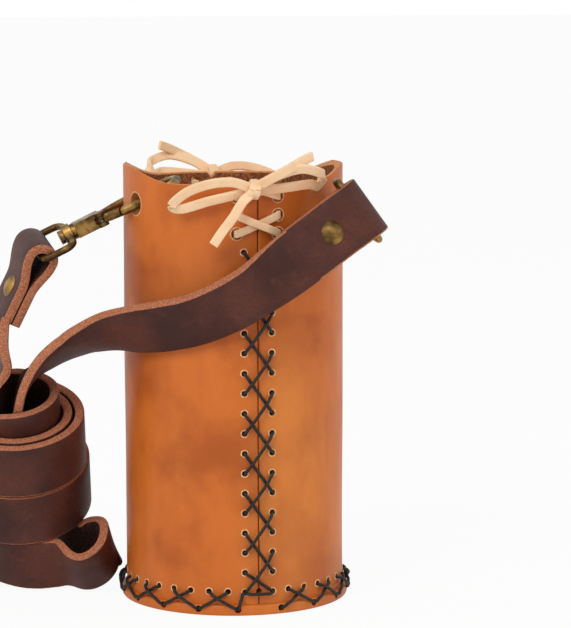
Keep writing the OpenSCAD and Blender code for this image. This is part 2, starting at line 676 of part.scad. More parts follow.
module strap_left_end() { color(dark_leather) at_left_bar() strap_end(left_rivet_at); }
module left_rivet_cap() { color(old_brass) at_left_bar() rivet_cap(left_rivet_at); }
module left_rivet_post() { color(old_brass) at_left_bar() rivet_post(left_rivet_at); }
module strap_right_end() { color(dark_leather) at_right_bar() strap_end(right_rivet_at); }
module right_rivet_cap() { color(old_brass) at_right_bar() rivet_cap(right_rivet_at); }
module right_rivet_post() { color(old_brass) at_right_bar() rivet_post(right_rivet_at); }

// The strap's route from the right eye across the front, down into the coil, out at its foot into the small loop,
// up round the coil and on to the left eye. Each place is a point and the direction of the strap's width.

// Clear space between the strap's ends and its runs
join_gap = 0.05;
view_a = -6;
toward = [sin(view_a), -cos(view_a), 0];

// Points across the front, chosen by hand, with the lean of the upper edge towards the front in degrees
front_points = [[5, -48.5, 119, 24], [-6, -47.7, 112.3, 28], [-18, -44.6, 107, 31], [-28.5, -39, 104.2, 34],
                [-38.5, -31, 102, 40], [-48, -22.8, 99.8, 52], [-57.5, -16.7, 96, 63], [-64.9, -13.2, 92, 70],
                [-70.3, -11.1, 87.6, 76], [-73.6, -10.3, 83.2, 82]];
right_start = right_bar + (tail_len + join_gap) * right_d + leg_y * right_n;
front_line = concat([right_start - 8 * right_d, right_start],
                    [for (p = front_points) [p[0], p[1], p[2]]]);
front_first = 2;

function lean_across(l, a) = let (p = unit(cross(toward, l))) unit(cos(a) * p - sin(a) * toward);
front_keys = [for (i = [0 : len(front_line) - 1]) let (
    l = unit(front_line[min(i + 1, len(front_line) - 1)] - front_line[max(i - 1, 0)])) concat(front_line[i],
        i < front_first ? -right_b : lean_across(l, front_points[i - front_first][3]))];

lift = strap_w + coil_gap;
nest = strap_t + coil_gap;
foot_level = 0.42 * strap_w;
ring_x = coil_r + 0.2;
ring_y = -0.76 * coil_r;
ring_level = 0.56 * strap_w;
// Slopes of the small loop towards the front and the side
ring_slope = 0.36;
ring_side = 0.22;

// The coil stands in its own leaning frame, its foot on the floor
coil_at = [-76.8, 28.5];
coil_z = (small_loop_r + strap_t / 2 - ring_y) * sin(coil_lean) + 0.4;
function from_coil(p) = [coil_at[0], coil_at[1], coil_z] + turned(p);
function turned(p) = spin(spin(p, [1, 0, 0], coil_lean), up, view_a);
function coil_key(p, w) = concat(from_coil(p), turned(unit(w)));

up_width = [0, 1, 0];
core_keys = [
    coil_key([3, -2.2, 75.5], [0.03, 1, -0.04]), coil_key([1, -2.2, 69], up_width), coil_key([0.5, -2.2, 61], up_width),
    coil_key([0.3, -2.2, 51], up_width), coil_key([0, -1.5, 42], up_width), coil_key([-1, -0.5, 33], up_width),
    coil_key([-3.5, 0, 25], [0, 1, 0.1]), coil_key([-8, -1.5, 18.5], [0.1, 1, 0.25]),
    coil_key([-12.5, -5, 13.5], [0.3, 0.9, 0.55]), coil_key([-13.5, -12, 10], [0.3, 0.4, 0.85]),
    coil_key([-9, -18, foot_level], [0.05, 0, 1]), coil_key([-2, 1.3 - coil_r, foot_level], up),
    coil_key([6, -0.9 - coil_r, foot_level], [-0.06, -0.05, 1]), coil_key([14, -2.8 - coil_r, foot_level + 0.4], [-0.16, -0.18, 1]),
    for (a = [-90 : 30 : 90])
        coil_key([ring_x + small_loop_r * cos(a), ring_y + small_loop_r * sin(a),
                  mix(ring_level, foot_level, max(0, a) / 90) + ring_slope * small_loop_r * sin(a) * (a < 0 ? 1 : 0.07)
                  + ring_side * small_loop_r * cos(a)],
                 [-ring_side, -ring_slope * cos(max(0, a) / 2), 1]),
    coil_key([18.5, -7.8, foot_level - 0.2], [-0.15, -0.05, 1]), coil_key([14, -2.5, foot_level], [-0.06, 0, 1]),
    coil_key([12, 6, foot_level], up), coil_key([10, 14, foot_level + 1], up)];

// The turns, by angle: each climbs one level at the back, then two nest inside, and the last rises a little
turns_from = 85;
turns_to = 1510;
turn_step = 15;
shrink_from = -33;
shrink_to = 64;
climb = [[85, 0.12], [190, 0.95], [240, 1], [415, 1], [550, 2]];
top_rise = [[1170, 0], [1290, 5], [1350, 8], [1440, 9.7], [1530, 9]];

function climbs(a) = (lookup(a - turn_step, climb) + lookup(a, climb) + lookup(a + turn_step, climb)) / 3;
function shrinks(a) = ease((a - 720 - shrink_from) / (shrink_to - shrink_from))
    + ease((a - 1080 - shrink_from) / (shrink_to - shrink_from)) + 0.96 * ease((a - 1400) / 110);
function turn_key(a) = let (r = coil_r - nest * shrinks(a)) coil_key(
    [r * cos(a), r * sin(a), foot_level + lift * climbs(a) + lookup(a, top_rise)], up);
turn_keys = [for (a = [turns_from : turn_step : turns_to]) turn_key(a)];

// From the top of the coil, turned upwards inside it, to the left eye
left_start = left_bar + (tail_len + join_gap) * left_d + leg_y * left_n;
top_level = foot_level + 2 * lift + lookup(turns_to, top_rise);
up_keys = [
    coil_key([-0.4, 11.3, top_level], up), coil_key([-4.2, 9.5, top_level + 0.2], [0, 0.1, 1]),
    coil_key([-5.3, 6, top_level + 1.2], [0, 0.35, 0.95]), coil_key([-6, 2.8, top_level + 4], [0, 0.7, 0.7]),
    coil_key([-6.9, 0.4, top_level + 8.5], [0, 0.95, 0.3]), coil_key([-7.6, -0.5, top_level + 14], [0, 1, 0])];
left_points = [[-84.6, -4.5, 87.5], [-85.2, -4.5, 95]];
left_keys = concat(up_keys, [for (p = left_points) concat(p, unit([-0.1, 0.98, 0.15]))],
    [for (s = [0, -8]) concat(left_start + s * left_d, left_b)]);

route_keys = concat(front_keys, core_keys, turn_keys, left_keys);
front_steps = 3;
core_steps = 3;
left_steps = 4;
core_at = len(front_keys);
turns_at = core_at + len(core_keys);
left_at = turns_at + len(turn_keys);
last_key = len(route_keys) - 2;

function key_frame(k) = [[k[0], k[1], k[2]], [k[3], k[4], k[5]]];
function run_keys(from, to, steps) = [for (i = [from : to - 1], s = [0 : steps - 1])
    key_frame(curve(route_keys, i, s / steps))];
front_run = run_keys(1, core_at - 1, front_steps);
coil_run = concat(run_keys(core_at - 1, turns_at, core_steps), run_keys(turns_at, left_at - 1, 1));
left_run = concat(run_keys(left_at - 1, last_key, left_steps), [key_frame(route_keys[last_key])]);
whole_run = concat(front_run, coil_run, left_run);
at_coil = len(front_run);
at_left = at_coil + len(coil_run);

// Cross-sections of the whole strap, so that its stretches meet face to face
sections = [for (i = [0 : len(whole_run) - 1]) let (
    before = whole_run[max(i - 1, 0)][0], after = whole_run[min(i + 1, len(whole_run) - 1)][0],
    l = i == 0 ? right_d : i == len(whole_run) - 1 ? -left_d : unit(after - before),
    b = whole_run[i][1], x = unit(b - l * (b * l)), n = cross(l, x), p = whole_run[i][0])
    [p + x * strap_w / 2 + n * strap_t / 2, p - x * strap_w / 2 + n * strap_t / 2,
     p - x * strap_w / 2 - n * strap_t / 2, p + x * strap_w / 2 - n * strap_t / 2]];

module strap_stretch(from, to) { skin([for (i = [from : to]) sections[i]], 4); }

module strap_front_run() { color(dark_leather) strap_stretch(0, at_coil); }
module strap_coil() { color(dark_leather) strap_stretch(at_coil, at_left); }
module strap_left_run() { color(dark_leather) strap_stretch(at_left, len(whole_run) - 1); }

// The strap's length, and the least gap between turns of the coil, face to face or edge to edge
function total(v, i = 0, s = 0) = i >= len(v) ? s : total(v, i + 1, s + v[i]);
route_length = total([for (i = [1 : len(whole_run) - 1]) norm(whole_run[i][0] - whole_run[i - 1][0])]);
apart = 26;
far = 2 * strap_w;
function middle(c) = (c[0] + c[2]) / 2;
function rim(c) = [for (t = [0 : 0.2 : 1]) each [mix(c[0], c[1], t), mix(c[3], c[2], t)]];
function point_gap(p, c, d) = let (l = middle(d) - middle(c), t = (p - middle(c)) * l / (l * l))
    t < 0 || t > 1 ? far : let (v = p - middle(c) - t * l, x = unit(c[0] - c[1]), n = unit(c[0] - c[3]),
        over = abs(v * x) - strap_w / 2, beside = abs(v * n) - strap_t / 2)
        over > 0 && beside > 0 ? norm([over, beside]) : max(over, beside);
way = [for (i = 0, s = 0; i < len(sections); i = i + 1,
    s = s + (i < len(sections) ? norm(middle(sections[i]) - middle(sections[i - 1])) : 0)) s];
function least_gap() = min([for (i = [0 : len(sections) - 1], j = [0 : len(sections) - 2])
    if (abs(way[i] - way[j]) > apart && norm(middle(sections[i]) - middle(sections[j])) < 1.3 * strap_w)
        for (p = rim(sections[i])) point_gap(p, sections[j], sections[j + 1])]);
echo(strap_length = route_length + 4 * (tail_len + bulb_r));
echo(least_gap = least_gap());  // strap_coil

left_panel();
right_panel();
base_disc();
front_seam_cord();
back_seam_cord();
right_base_cord();
left_base_cord();
front_lace();
back_lace();
left_hook_body();
left_gate();
left_gate_pin();
left_gate_spring();
left_eye();
right_hook_body();
right_gate();
right_gate_pin();
right_gate_spring();
right_eye();
strap_left_end();
left_rivet_cap();
left_rivet_post();
strap_right_end();
right_rivet_cap();
right_rivet_post();
strap_front_run();
strap_coil();
strap_left_run();
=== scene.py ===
# %% [markdown]
# # A laced bottle carrier
# The carrier is a leather sleeve laced to a round base, with a long strap that clips on with two snap
# hooks and lies coiled beside it. The CAD model gives every place and size, so it is loaded first and
# never moved.

# %% Load the frame
import math
import bpy
import bmesh
import numpy as np
from mathutils import Matrix, Vector


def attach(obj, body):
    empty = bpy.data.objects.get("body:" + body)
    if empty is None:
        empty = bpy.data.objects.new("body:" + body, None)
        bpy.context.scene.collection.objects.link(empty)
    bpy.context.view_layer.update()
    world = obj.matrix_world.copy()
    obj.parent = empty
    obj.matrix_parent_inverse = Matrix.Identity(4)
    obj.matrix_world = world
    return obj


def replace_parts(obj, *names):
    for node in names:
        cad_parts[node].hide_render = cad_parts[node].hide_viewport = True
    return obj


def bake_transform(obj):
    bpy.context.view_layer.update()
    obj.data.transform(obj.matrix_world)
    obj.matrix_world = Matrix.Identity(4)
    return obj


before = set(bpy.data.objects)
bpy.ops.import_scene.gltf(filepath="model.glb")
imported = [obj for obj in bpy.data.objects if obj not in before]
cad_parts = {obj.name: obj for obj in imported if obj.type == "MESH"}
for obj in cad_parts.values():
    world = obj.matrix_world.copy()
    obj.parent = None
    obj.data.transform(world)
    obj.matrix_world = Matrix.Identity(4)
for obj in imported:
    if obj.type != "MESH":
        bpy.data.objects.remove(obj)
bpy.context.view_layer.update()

MM = 0.001

# %% [markdown]
# ## Camera
# The photograph was taken with a long lens from a little above, so upright lines stay almost parallel. A
# lens of 160 mm at 0.93 m gives that view. The carrier stands left of the picture's middle, which is a
# small lens shift and not a turn, because a turn would show the sleeve from another side.

# %% Camera
view_side, view_far, view_high, aim_high = math.radians(-6.057), 0.9259, 0.21407, 0.0963
lens = bpy.data.cameras.new("long_lens")
lens.lens, lens.sensor_width, lens.sensor_fit = 160.17, 36, "HORIZONTAL"
lens.shift_x, lens.shift_y = 0.0910, 0.0336
eye = bpy.data.objects.new("camera", lens)
eye.location = (view_far * math.sin(view_side), -view_far * math.cos(view_side), view_high)
look = Vector((0, 0, aim_high)) - eye.location
eye.rotation_mode = "QUATERNION"
roll = Matrix.Rotation(math.radians(-0.26), 3, "Z").to_quaternion()
eye.rotation_quaternion = look.to_track_quat("-Z", "Y") @ roll
bpy.context.scene.collection.objects.link(eye)
bpy.context.scene.camera = eye
bpy.context.scene.view_settings.view_transform = "Standard"
print("camera", round(look.length, 3), "m from its aim")

# %% [markdown]
# ## Shader sums as Python
# A finish is a small graph of nodes. Wrapping a socket in a class lets a mask be written as a sum, so the
# recipe of a finish reads like the words that describe it. One method makes every node, also the world's.

# %% Sockets that can be added and multiplied
def tint(red, green, blue):
    """A colour as seen on screen, 0 to 255, as the linear colour that a shader wants."""
    shares = [c / 255 for c in (red, green, blue)]
    return tuple(c / 12.92 if c < 0.04045 else ((c + 0.055) / 1.055) ** 2.4 for c in shares) + (1,)


class Strand:
    """One output of a node; an expression on it adds Math nodes."""
    def __init__(self, graph, out):
        self.graph, self.out = graph, out

    def sum_of(self, operation, *values):
        return self.graph.node("ShaderNodeMath", {"operation": operation}, dict(enumerate(values)))

    def __add__(self, other): return self.sum_of("ADD", self, other)
    def __radd__(self, other): return self.sum_of("ADD", other, self)
    def __rsub__(self, other): return self.sum_of("SUBTRACT", other, self)
    def __mul__(self, other): return self.sum_of("MULTIPLY", self, other)
    def __or__(self, other): return self.sum_of("MAXIMUM", self, other)


class Graph:
    """A tree of nodes, with the one method that makes every node in this file."""
    def __init__(self, tree):
        self.tree = tree

    def node(self, kind, settings=None, inputs=None, out=0):
        made = self.tree.nodes.new(kind)
        for key, value in (settings or {}).items():
            setattr(made, key, value)
        for key, value in (inputs or {}).items():
            if isinstance(value, Strand):
                self.tree.links.new(value.out, made.inputs[key])
            else:
                made.inputs[key].default_value = value
        return Strand(self, made.outputs[out])


class Finish(Graph):
    """A material in the making: a Principled shader and whatever feeds it."""
    def __init__(self, name, **numbers):
        self.material = bpy.data.materials.new(name)
        self.material.use_nodes = True
        super().__init__(self.material.node_tree)
        self.shader = self.tree.nodes["Principled BSDF"]
        for key, value in numbers.items():
            self.shader.inputs[key.replace("_", " ")].default_value = value
        self.place = self.node("ShaderNodeTexCoord", out="Object")

    def stretched(self, x, y, z):
        return self.node("ShaderNodeMapping", None, {"Vector": self.place, "Scale": (x, y, z)})

    def noise(self, scale, detail=3, where=None):
        return self.node("ShaderNodeTexNoise", None,
                         {"Vector": where or self.place, "Scale": scale, "Detail": detail})

    def cells(self, scale):
        return self.node("ShaderNodeTexVoronoi", None, {"Vector": self.place, "Scale": scale})

    def between(self, value, low, high):
        return self.node("ShaderNodeMapRange", {"interpolation_type": "SMOOTHSTEP"},
                         {"Value": value, "From Min": low, "From Max": high})

    def mixed(self, share, first, second):
        return self.node("ShaderNodeMix", {"data_type": "RGBA"}, {0: share, 6: first, 7: second}, out=2)

    def bumped(self, height, far):
        return self.node("ShaderNodeBump", None, {"Height": height, "Distance": far, "Strength": 1.0})

    def feed(self, **sockets):
        for key, value in sockets.items():
            self.tree.links.new(value.out, self.shader.inputs[key.replace("_", " ")])
        return self.material

# %% [markdown]
# ## Tan hide
# The sleeve is vegetable tanned hide: a warm orange brown that has taken darker, waxy patches where it
# was handled, over a fine closed grain. Broad noise gives the patches, finer noise the mottle, noise
# pulled out along the height the faint streaks, and small cells the grain. Broad noise stretched
# upright also lightens it towards golden tan, which is a painted highlight.

# %% Tan hide
def tan_hide():
    f = Finish("tan_hide", Coat_Weight=0.1, Coat_Roughness=0.24, Specular_IOR_Level=0.24)
    patch = f.between(f.noise(34, 6), 0.44, 0.68)
    mottle = f.between(f.noise(150, 5, f.stretched(1, 1, 0.5)), 0.4, 0.68)
    # Painted highlight: soft upright patches lightened towards golden tan, standing in for a lamp's sheen on
    # the wall.
    painted_highlight = f.between(f.noise(17, 2, f.stretched(1, 1, 0.35)), 0.5, 0.75)
    streak = f.noise(120, 3, f.stretched(1, 1, 0.12))
    colour = f.mixed(patch * 0.7, tint(212, 112, 40), tint(160, 70, 18))
    colour = f.mixed(painted_highlight * 0.6, colour, tint(232, 146, 68))
    colour = f.mixed(mottle * 0.24, colour, tint(190, 92, 30))
    colour = f.mixed(f.between(streak, 0.45, 0.8) * 0.3, colour, tint(184, 90, 32))
    speck = f.between(f.noise(900, 2), 0.68, 0.78)
    colour = f.mixed(speck * 0.22, colour, tint(140, 66, 30))
    grain = f.cells(1500) * 0.6 + f.noise(420, 4) * 0.8
    return f.feed(Base_Color=colour, Roughness=0.34 + f.noise(60, 3) * 0.2, Normal=f.bumped(grain, 0.00009))


def flesh_side():
    f = Finish("flesh_side", Specular_IOR_Level=0.2)
    speck = f.between(f.noise(1100, 4), 0.42, 0.62)
    colour = f.mixed(speck, tint(120, 66, 38), tint(176, 108, 62))
    colour = f.mixed(f.between(f.noise(70, 3), 0.4, 0.7) * 0.4, colour, tint(104, 58, 34))
    fibre = f.noise(1600, 5)
    return f.feed(Base_Color=colour, Roughness=0.82 + fibre * 0.1, Normal=f.bumped(fibre, 0.00025))


def cut_edge():
    f = Finish("cut_edge", Specular_IOR_Level=0.3)
    layer = f.noise(700, 3, f.stretched(1, 1, 3))
    colour = f.mixed(f.between(layer, 0.35, 0.7), tint(196, 120, 66), tint(222, 156, 100))
    return f.feed(Base_Color=colour, Roughness=0.62 + layer * 0.15, Normal=f.bumped(layer, 0.00012))


def hole_rim():
    f = Finish("hole_rim", Specular_IOR_Level=0.3)
    fray = f.noise(1300, 3)
    colour = f.mixed(f.between(fray, 0.4, 0.65), tint(222, 152, 96), tint(246, 204, 156))
    return f.feed(Base_Color=colour, Roughness=0.6 + fray * 0.1, Normal=f.bumped(fray, 0.0001))


TAN, FLESH, CUT, RIM = tan_hide(), flesh_side(), cut_edge(), hole_rim()
print("made the hide's four finishes")

# %% [markdown]
# ## Strap leather
# The strap is thick oiled leather dyed dark on its faces only. Cut afterwards, its edges show raw red
# fibres, and these light edges draw every turn of the coil. So the strap has three finishes: grain, flesh
# and raw edge.

# %% Strap leather
def strap_grain():
    f = Finish("strap_grain", Specular_IOR_Level=0.26)
    cloud = f.between(f.noise(38, 4), 0.35, 0.7)
    colour = f.mixed(cloud, tint(62, 30, 24), tint(96, 50, 39))
    colour = f.mixed(f.between(f.noise(160, 4), 0.55, 0.8) * 0.35, colour, tint(120, 70, 56))
    colour = f.mixed(f.between(f.noise(1100, 3), 0.5, 0.66) * 0.3, colour, tint(44, 20, 16))
    grain = f.cells(1250) * 0.8 + f.noise(500, 4) * 0.7
    return f.feed(Base_Color=colour, Roughness=0.46 + f.noise(90, 3) * 0.16, Normal=f.bumped(grain, 0.0001))


def strap_flesh():
    f = Finish("strap_flesh", Specular_IOR_Level=0.15)
    fibre = f.noise(1300, 5)
    colour = f.mixed(f.between(fibre, 0.4, 0.62), tint(46, 27, 24), tint(78, 46, 38))
    return f.feed(Base_Color=colour, Roughness=0.85 + fibre * 0.1, Normal=f.bumped(fibre, 0.0002))


def strap_raw():
    f = Finish("strap_raw", Specular_IOR_Level=0.2)
    fibre, clump = f.noise(2400, 5), f.noise(600, 3)
    colour = f.mixed(f.between(fibre, 0.38, 0.64), tint(152, 88, 60), tint(206, 136, 102))
    colour = f.mixed(f.between(clump, 0.5, 0.75) * 0.4, colour, tint(164, 96, 68))
    return f.feed(Base_Color=colour, Roughness=0.8 + fibre * 0.1,
                  Normal=f.bumped(fibre + clump * 0.5, 0.00016))


GRAIN, STRAP_BACK, RAW = strap_grain(), strap_flesh(), strap_raw()

# %% [markdown]
# ## Cord, lace, brass and steel
# The black cord is waxed, so it is dark with a dull shine. The lace is undyed leather. The hooks are aged
# brass: yellow where fingers polish it, brown in between, which one noise between two metals shows.

# %% Cord, lace and metals
def waxed_cord():
    f = Finish("waxed_cord", Specular_IOR_Level=0.35)
    wax = f.noise(800, 3)
    colour = f.mixed(f.between(wax, 0.4, 0.75), tint(24, 20, 18), tint(48, 41, 38))
    return f.feed(Base_Color=colour, Roughness=0.5 + wax * 0.2, Normal=f.bumped(wax, 0.0001))


def pale_lace():
    f = Finish("pale_lace", Specular_IOR_Level=0.3)
    grain = f.noise(900, 4)
    colour = f.mixed(f.between(f.noise(60, 3), 0.4, 0.7), tint(255, 218, 176), tint(247, 200, 154))
    colour = f.mixed(f.between(grain, 0.55, 0.7) * 0.25, colour, tint(236, 180, 134))
    return f.feed(Base_Color=colour, Roughness=0.58 + grain * 0.1, Normal=f.bumped(grain, 0.00006))


def aged_brass(name, dull, bright):
    f = Finish(name, Metallic=0.92)
    worn = f.between(f.noise(150, 4), dull, bright)
    colour = f.mixed(worn, tint(78, 56, 31), tint(172, 134, 74))
    colour = f.mixed(f.between(f.noise(520, 3), 0.55, 0.75) * 0.5, colour, tint(66, 46, 26))
    return f.feed(Base_Color=colour, Roughness=0.42 - worn * 0.12 + f.noise(900, 2) * 0.08,
                  Normal=f.bumped(f.noise(700, 3), 0.00003))


def spring_steel():
    f = Finish("spring_wire", Metallic=1.0)
    draw = f.noise(900, 2)
    colour = f.mixed(draw, tint(150, 148, 144), tint(186, 184, 180))
    return f.feed(Base_Color=colour, Roughness=0.3 + draw * 0.1)


BLACK, PALE, STEEL = waxed_cord(), pale_lace(), spring_steel()
BRASS, RIVET = aged_brass("aged_brass", 0.4, 0.7), aged_brass("rubbed_rivets", 0.32, 0.62)
print("made", len([m for m in bpy.data.materials if m.use_nodes]), "finishes in all")

# %% [markdown]
# ## Lofting
# Nearly every piece here is one cross-section carried along a line: a strap, a lace, a cord, the wall of
# a panel. So one function skins rings of points into a closed mesh, in millimetres, with a finish for
# each strip round the ring, and another smooths a line of listed points.

# %% Lines and lofts
def unit(v):
    v = np.asarray(v, float)
    return v / np.linalg.norm(v)


def on_round(a, r, z):
    """A point at angle a in degrees from the front towards +X, on a cylinder of radius r."""
    return np.array([r * math.sin(math.radians(a)), -r * math.cos(math.radians(a)), z])


def smooth_line(keys, steps):
    """A curve through the keys, each a point with whatever else changes along it."""
    keys, line = np.asarray(keys, float), []
    for i in range(len(keys) - 1):
        a, b, c, d = keys[max(i - 1, 0)], keys[i], keys[i + 1], keys[min(i + 2, len(keys) - 1)]
        for t in np.arange(steps) / steps:
            line.append(0.5 * (2 * b + (c - a) * t + (2 * a - 5 * b + 4 * c - d) * t ** 2
                               + (3 * b - a - 3 * c + d) * t ** 3))
    return np.array(line + [keys[-1]])


def loft(name, rings, strips, finishes, ends=0, sharp=40):
    """Skins rings of points into a closed solid; strips gives the finish of each strip round the ring.
    The two ends are capped with the finish numbered ends, or, where ends is None, joined to each other."""
    count, around = len(rings), len(rings[0])
    mesh = bpy.data.meshes.new(name)
    faces = [(i + k, i + (k + 1) % around, i + around + (k + 1) % around, i + around + k)
             for i in range(0, (count - 1) * around, around) for k in range(around)]
    looks = list(strips) * (count - 1)
    if ends is not None:
        faces += [tuple(range(around)), tuple(range((count - 1) * around, count * around))]
        looks += [ends, ends]
    else:
        last = (count - 1) * around
        faces += [(last + k, last + (k + 1) % around, (k + 1) % around, k) for k in range(around)]
        looks += list(strips)
    mesh.from_pydata((np.concatenate(rings) * MM).tolist(), [], faces)
    for finish in finishes:
        mesh.materials.append(finish)
    mesh.polygons.foreach_set("material_index", looks)
    work = bmesh.new()
    work.from_mesh(mesh)
    bmesh.ops.recalc_face_normals(work, faces=work.faces)
    work.to_mesh(mesh)
    work.free()
    mesh.polygons.foreach_set("use_smooth", [True] * len(mesh.polygons))
    mesh.set_sharp_from_angle(angle=math.radians(sharp))
    made = bpy.data.objects.new(name, mesh)
    bpy.context.scene.collection.objects.link(made)
    return made


def joined(name, pieces):
    """Several meshes as one object."""
    with bpy.context.temp_override(active_object=pieces[0], selected_editable_objects=pieces):
        bpy.ops.object.join()
    pieces[0].name = name
    return pieces[0]


def rounded(wide, thick, ease, flats=4):
    """A rounded rectangle as points (across, through), with the strip that follows each point.
    Strip 0 is the top, 1 the edges and 2 the back."""
    points, strips = [], []
    for (cx, cy, a0, strip, ax, ay, bx, by) in (
            (1, 1, 0, 0, 1, 1, -1, 1), (-1, 1, 90, 1, 0, 0, 0, 0), (-1, -1, 180, 2, -1, -1, 1, -1),
            (1, -1, 270, 1, 0, 0, 0, 0)):
        for a in (0, 30, 60, 90):
            t = math.radians(a0 + a)
            points.append((cx * (wide / 2 - ease) + ease * math.cos(t),
                           cy * (thick / 2 - ease) + ease * math.sin(t)))
            strips.append(1 if (a < 30) == (strip != 1) or strip == 1 else strip)
        strips[-1] = strip
        if ax:
            for s in range(1, flats):
                points.append((ax * (wide / 2 - ease) * (1 - 2 * s / flats), cy * thick / 2))
                strips.append(strip)
    return points, strips


def band(name, line, across, wide, thick, ease, finishes, starts=None, ends=None, rough=0.0):
    """A flat strip along a line; across gives the direction of its width at each point.
    Its edges waver by about rough millimetres, except at the two ends, which meet other pieces."""
    shape, strips = rounded(wide, thick, ease)
    rings = []
    wobble = np.random.default_rng(len(line))
    for i, p in enumerate(line):
        l = unit(line[min(i + 1, len(line) - 1)] - line[max(i - 1, 0)])
        if i == 0 and starts is not None:
            l = unit(starts)
        if i == len(line) - 1 and ends is not None:
            l = unit(ends)
        x = unit(across[i] - l * (across[i] @ l))
        n = np.cross(l, x)
        frayed = rough and 0 < i < len(line) - 1
        fray = wobble.normal(0, rough, len(shape)) if frayed else np.zeros(len(shape))
        rings.append(np.array([p + x * (u + math.copysign(fray[k], u) * (strips[k] == 1)) + n * v
                               for k, (u, v) in enumerate(shape)]))
    return loft(name, rings, strips, finishes, ends=1)

# %% [markdown]
# ## The sleeve's two panels
# Each half is a bent panel with a rim that dips towards its two seams. Carrying the wall's own upright
# section round the curve gives rounded edges for free. The holes are then cut with one mesh of small
# cylinders, and each gets a raised pale rim, as a punch leaves where it breaks the dyed surface.

# %% Sizes of the sleeve
GAP, EASE, GROW = 0.15, 0.5, 0.02
THREAD_HOLE, DISC_HOLE, LACE_HOLE, HOOK_HOLE = 2.2, 2.4, 4.2, 7.95
R, WALL, PEAK, LOW, DIP, BASE_T = 40.0, 3.0, 159.0, 153.5, 5.5, 3.8
SEAM, GAP_A, NOTCH = 6.5, math.degrees(math.asin(GAP / 40)), 2.5
SEAM_A, LACE_A = math.degrees(math.asin(5 / R)), math.degrees(math.asin(7.4 / R))
ROWS = [129.8 - 7.15 * i for i in range(18)]
LACES = [136.3 + 6.5 * i for i in range(3)]
FOOT_Z, PAIR, EDGE_START, CROSSES = 8.5, 9.8, 11.0, 8
EDGE_STEP = (180 - 2 * EDGE_START) / CROSSES
HOOK_Z, HOOK_FRONT, HOOK_BACK = 145.5, 67.0, 105.0


def rim_high(x, off_seam):
    """Height of the rim at x across, and at a distance from the nearer seam, all in millimetres."""
    share = min(max((abs(x) / R - 0.6) / 0.366, 0), 1)
    dip = LOW + DIP * (1 - math.cos(math.pi / 2 * share)) if share < 1 else PEAK
    return min(dip, LOW - NOTCH + off_seam * (NOTCH + 1) / NOTCH)


def swell(a, z):
    """How far the hand-shaped wall stands off a true cylinder, fading out towards the hook holes."""
    broad = 0.10 * math.sin(math.radians(2 * a) + z / 19)
    fine = 0.05 * math.sin(math.radians(5 * a) - z / 11)
    return (broad + fine) * min((152 - min(z, 143)) / 60, 1)


def holes_of(side):
    """Every hole of one panel: its angle, height and diameter."""
    start = SEAM if side > 0 else SEAM + 180
    found = []
    for edge, inward in ((start, 1), (start + 180, -1)):
        found += [(edge + inward * SEAM_A, z, THREAD_HOLE) for z in ROWS]
        found += [(edge + inward * LACE_A, z, LACE_HOLE) for z in LACES]
    for j in range(CROSSES):
        middle = start + EDGE_START + (j + 0.5) * EDGE_STEP
        found += [(middle + way * PAIR / 2, FOOT_Z, THREAD_HOLE) for way in (-1, 1)]
    return found + [(side * a, HOOK_Z, HOOK_HOLE) for a in (HOOK_FRONT, HOOK_BACK)]

# %% Cutting holes
def punches(name, holes, inner, outer):
    """One mesh of cylinders through the wall, one for each hole."""
    rods = []
    for k, (a, z, d) in enumerate(holes):
        axis, wide, high = on_round(a, 1, 0), on_round(a + 90, 1, 0), np.array((0, 0, d / 2))
        rings = [np.array([axis * r + (0, 0, z) + wide * math.cos(t) * d / 2 + high * math.sin(t)
                           for t in np.radians(np.arange(30) * 12)]) for r in (inner, outer)]
        rods.append(loft(f"{name}_{k}", rings, [2] * 30, [TAN, FLESH, CUT], ends=2))
    return joined(name, rods)


def cut(body, tool):
    """Takes the tool out of the body, once and for all."""
    step = body.modifiers.new("punch", "BOOLEAN")
    step.object, step.solver, step.operation = tool, "EXACT", "DIFFERENCE"
    fresh = bpy.data.meshes.new_from_object(body.evaluated_get(bpy.context.evaluated_depsgraph_get()))
    body.modifiers.clear()
    body.data = fresh
    bpy.data.objects.remove(tool)
    fresh.polygons.foreach_set("use_smooth", [True] * len(fresh.polygons))
    fresh.set_sharp_from_angle(angle=math.radians(38))
    return body


def rim_rings(name, holes, surface):
    """The small raised lip round each hole, laid on the curve of the wall.
    Round the wide hook holes it lies lower and further out, clear of the hooks that swing there."""
    lips = []
    for k, (a, z, d) in enumerate(holes):
        small = d < HOOK_HOLE
        lip, stand = (0.26, surface + swell(a, z)) if small else (0.24, surface - 0.1)
        rings = []
        for t in np.radians(np.arange(18) * 20):
            mid = d / 2 + (0.55 if small else 1.6) * lip
            ring = []
            for s in np.radians(np.arange(8) * 45):
                far = mid + lip * math.cos(s)
                ring.append(on_round(a + math.degrees(far * math.cos(t) / R), stand + 0.5 * lip * math.sin(s),
                                     z + far * math.sin(t)))
            rings.append(np.array(ring))
        lips.append(loft(f"{name}_{k}", rings, [0] * 8, [RIM], ends=None, sharp=80))
    return joined(name, lips)

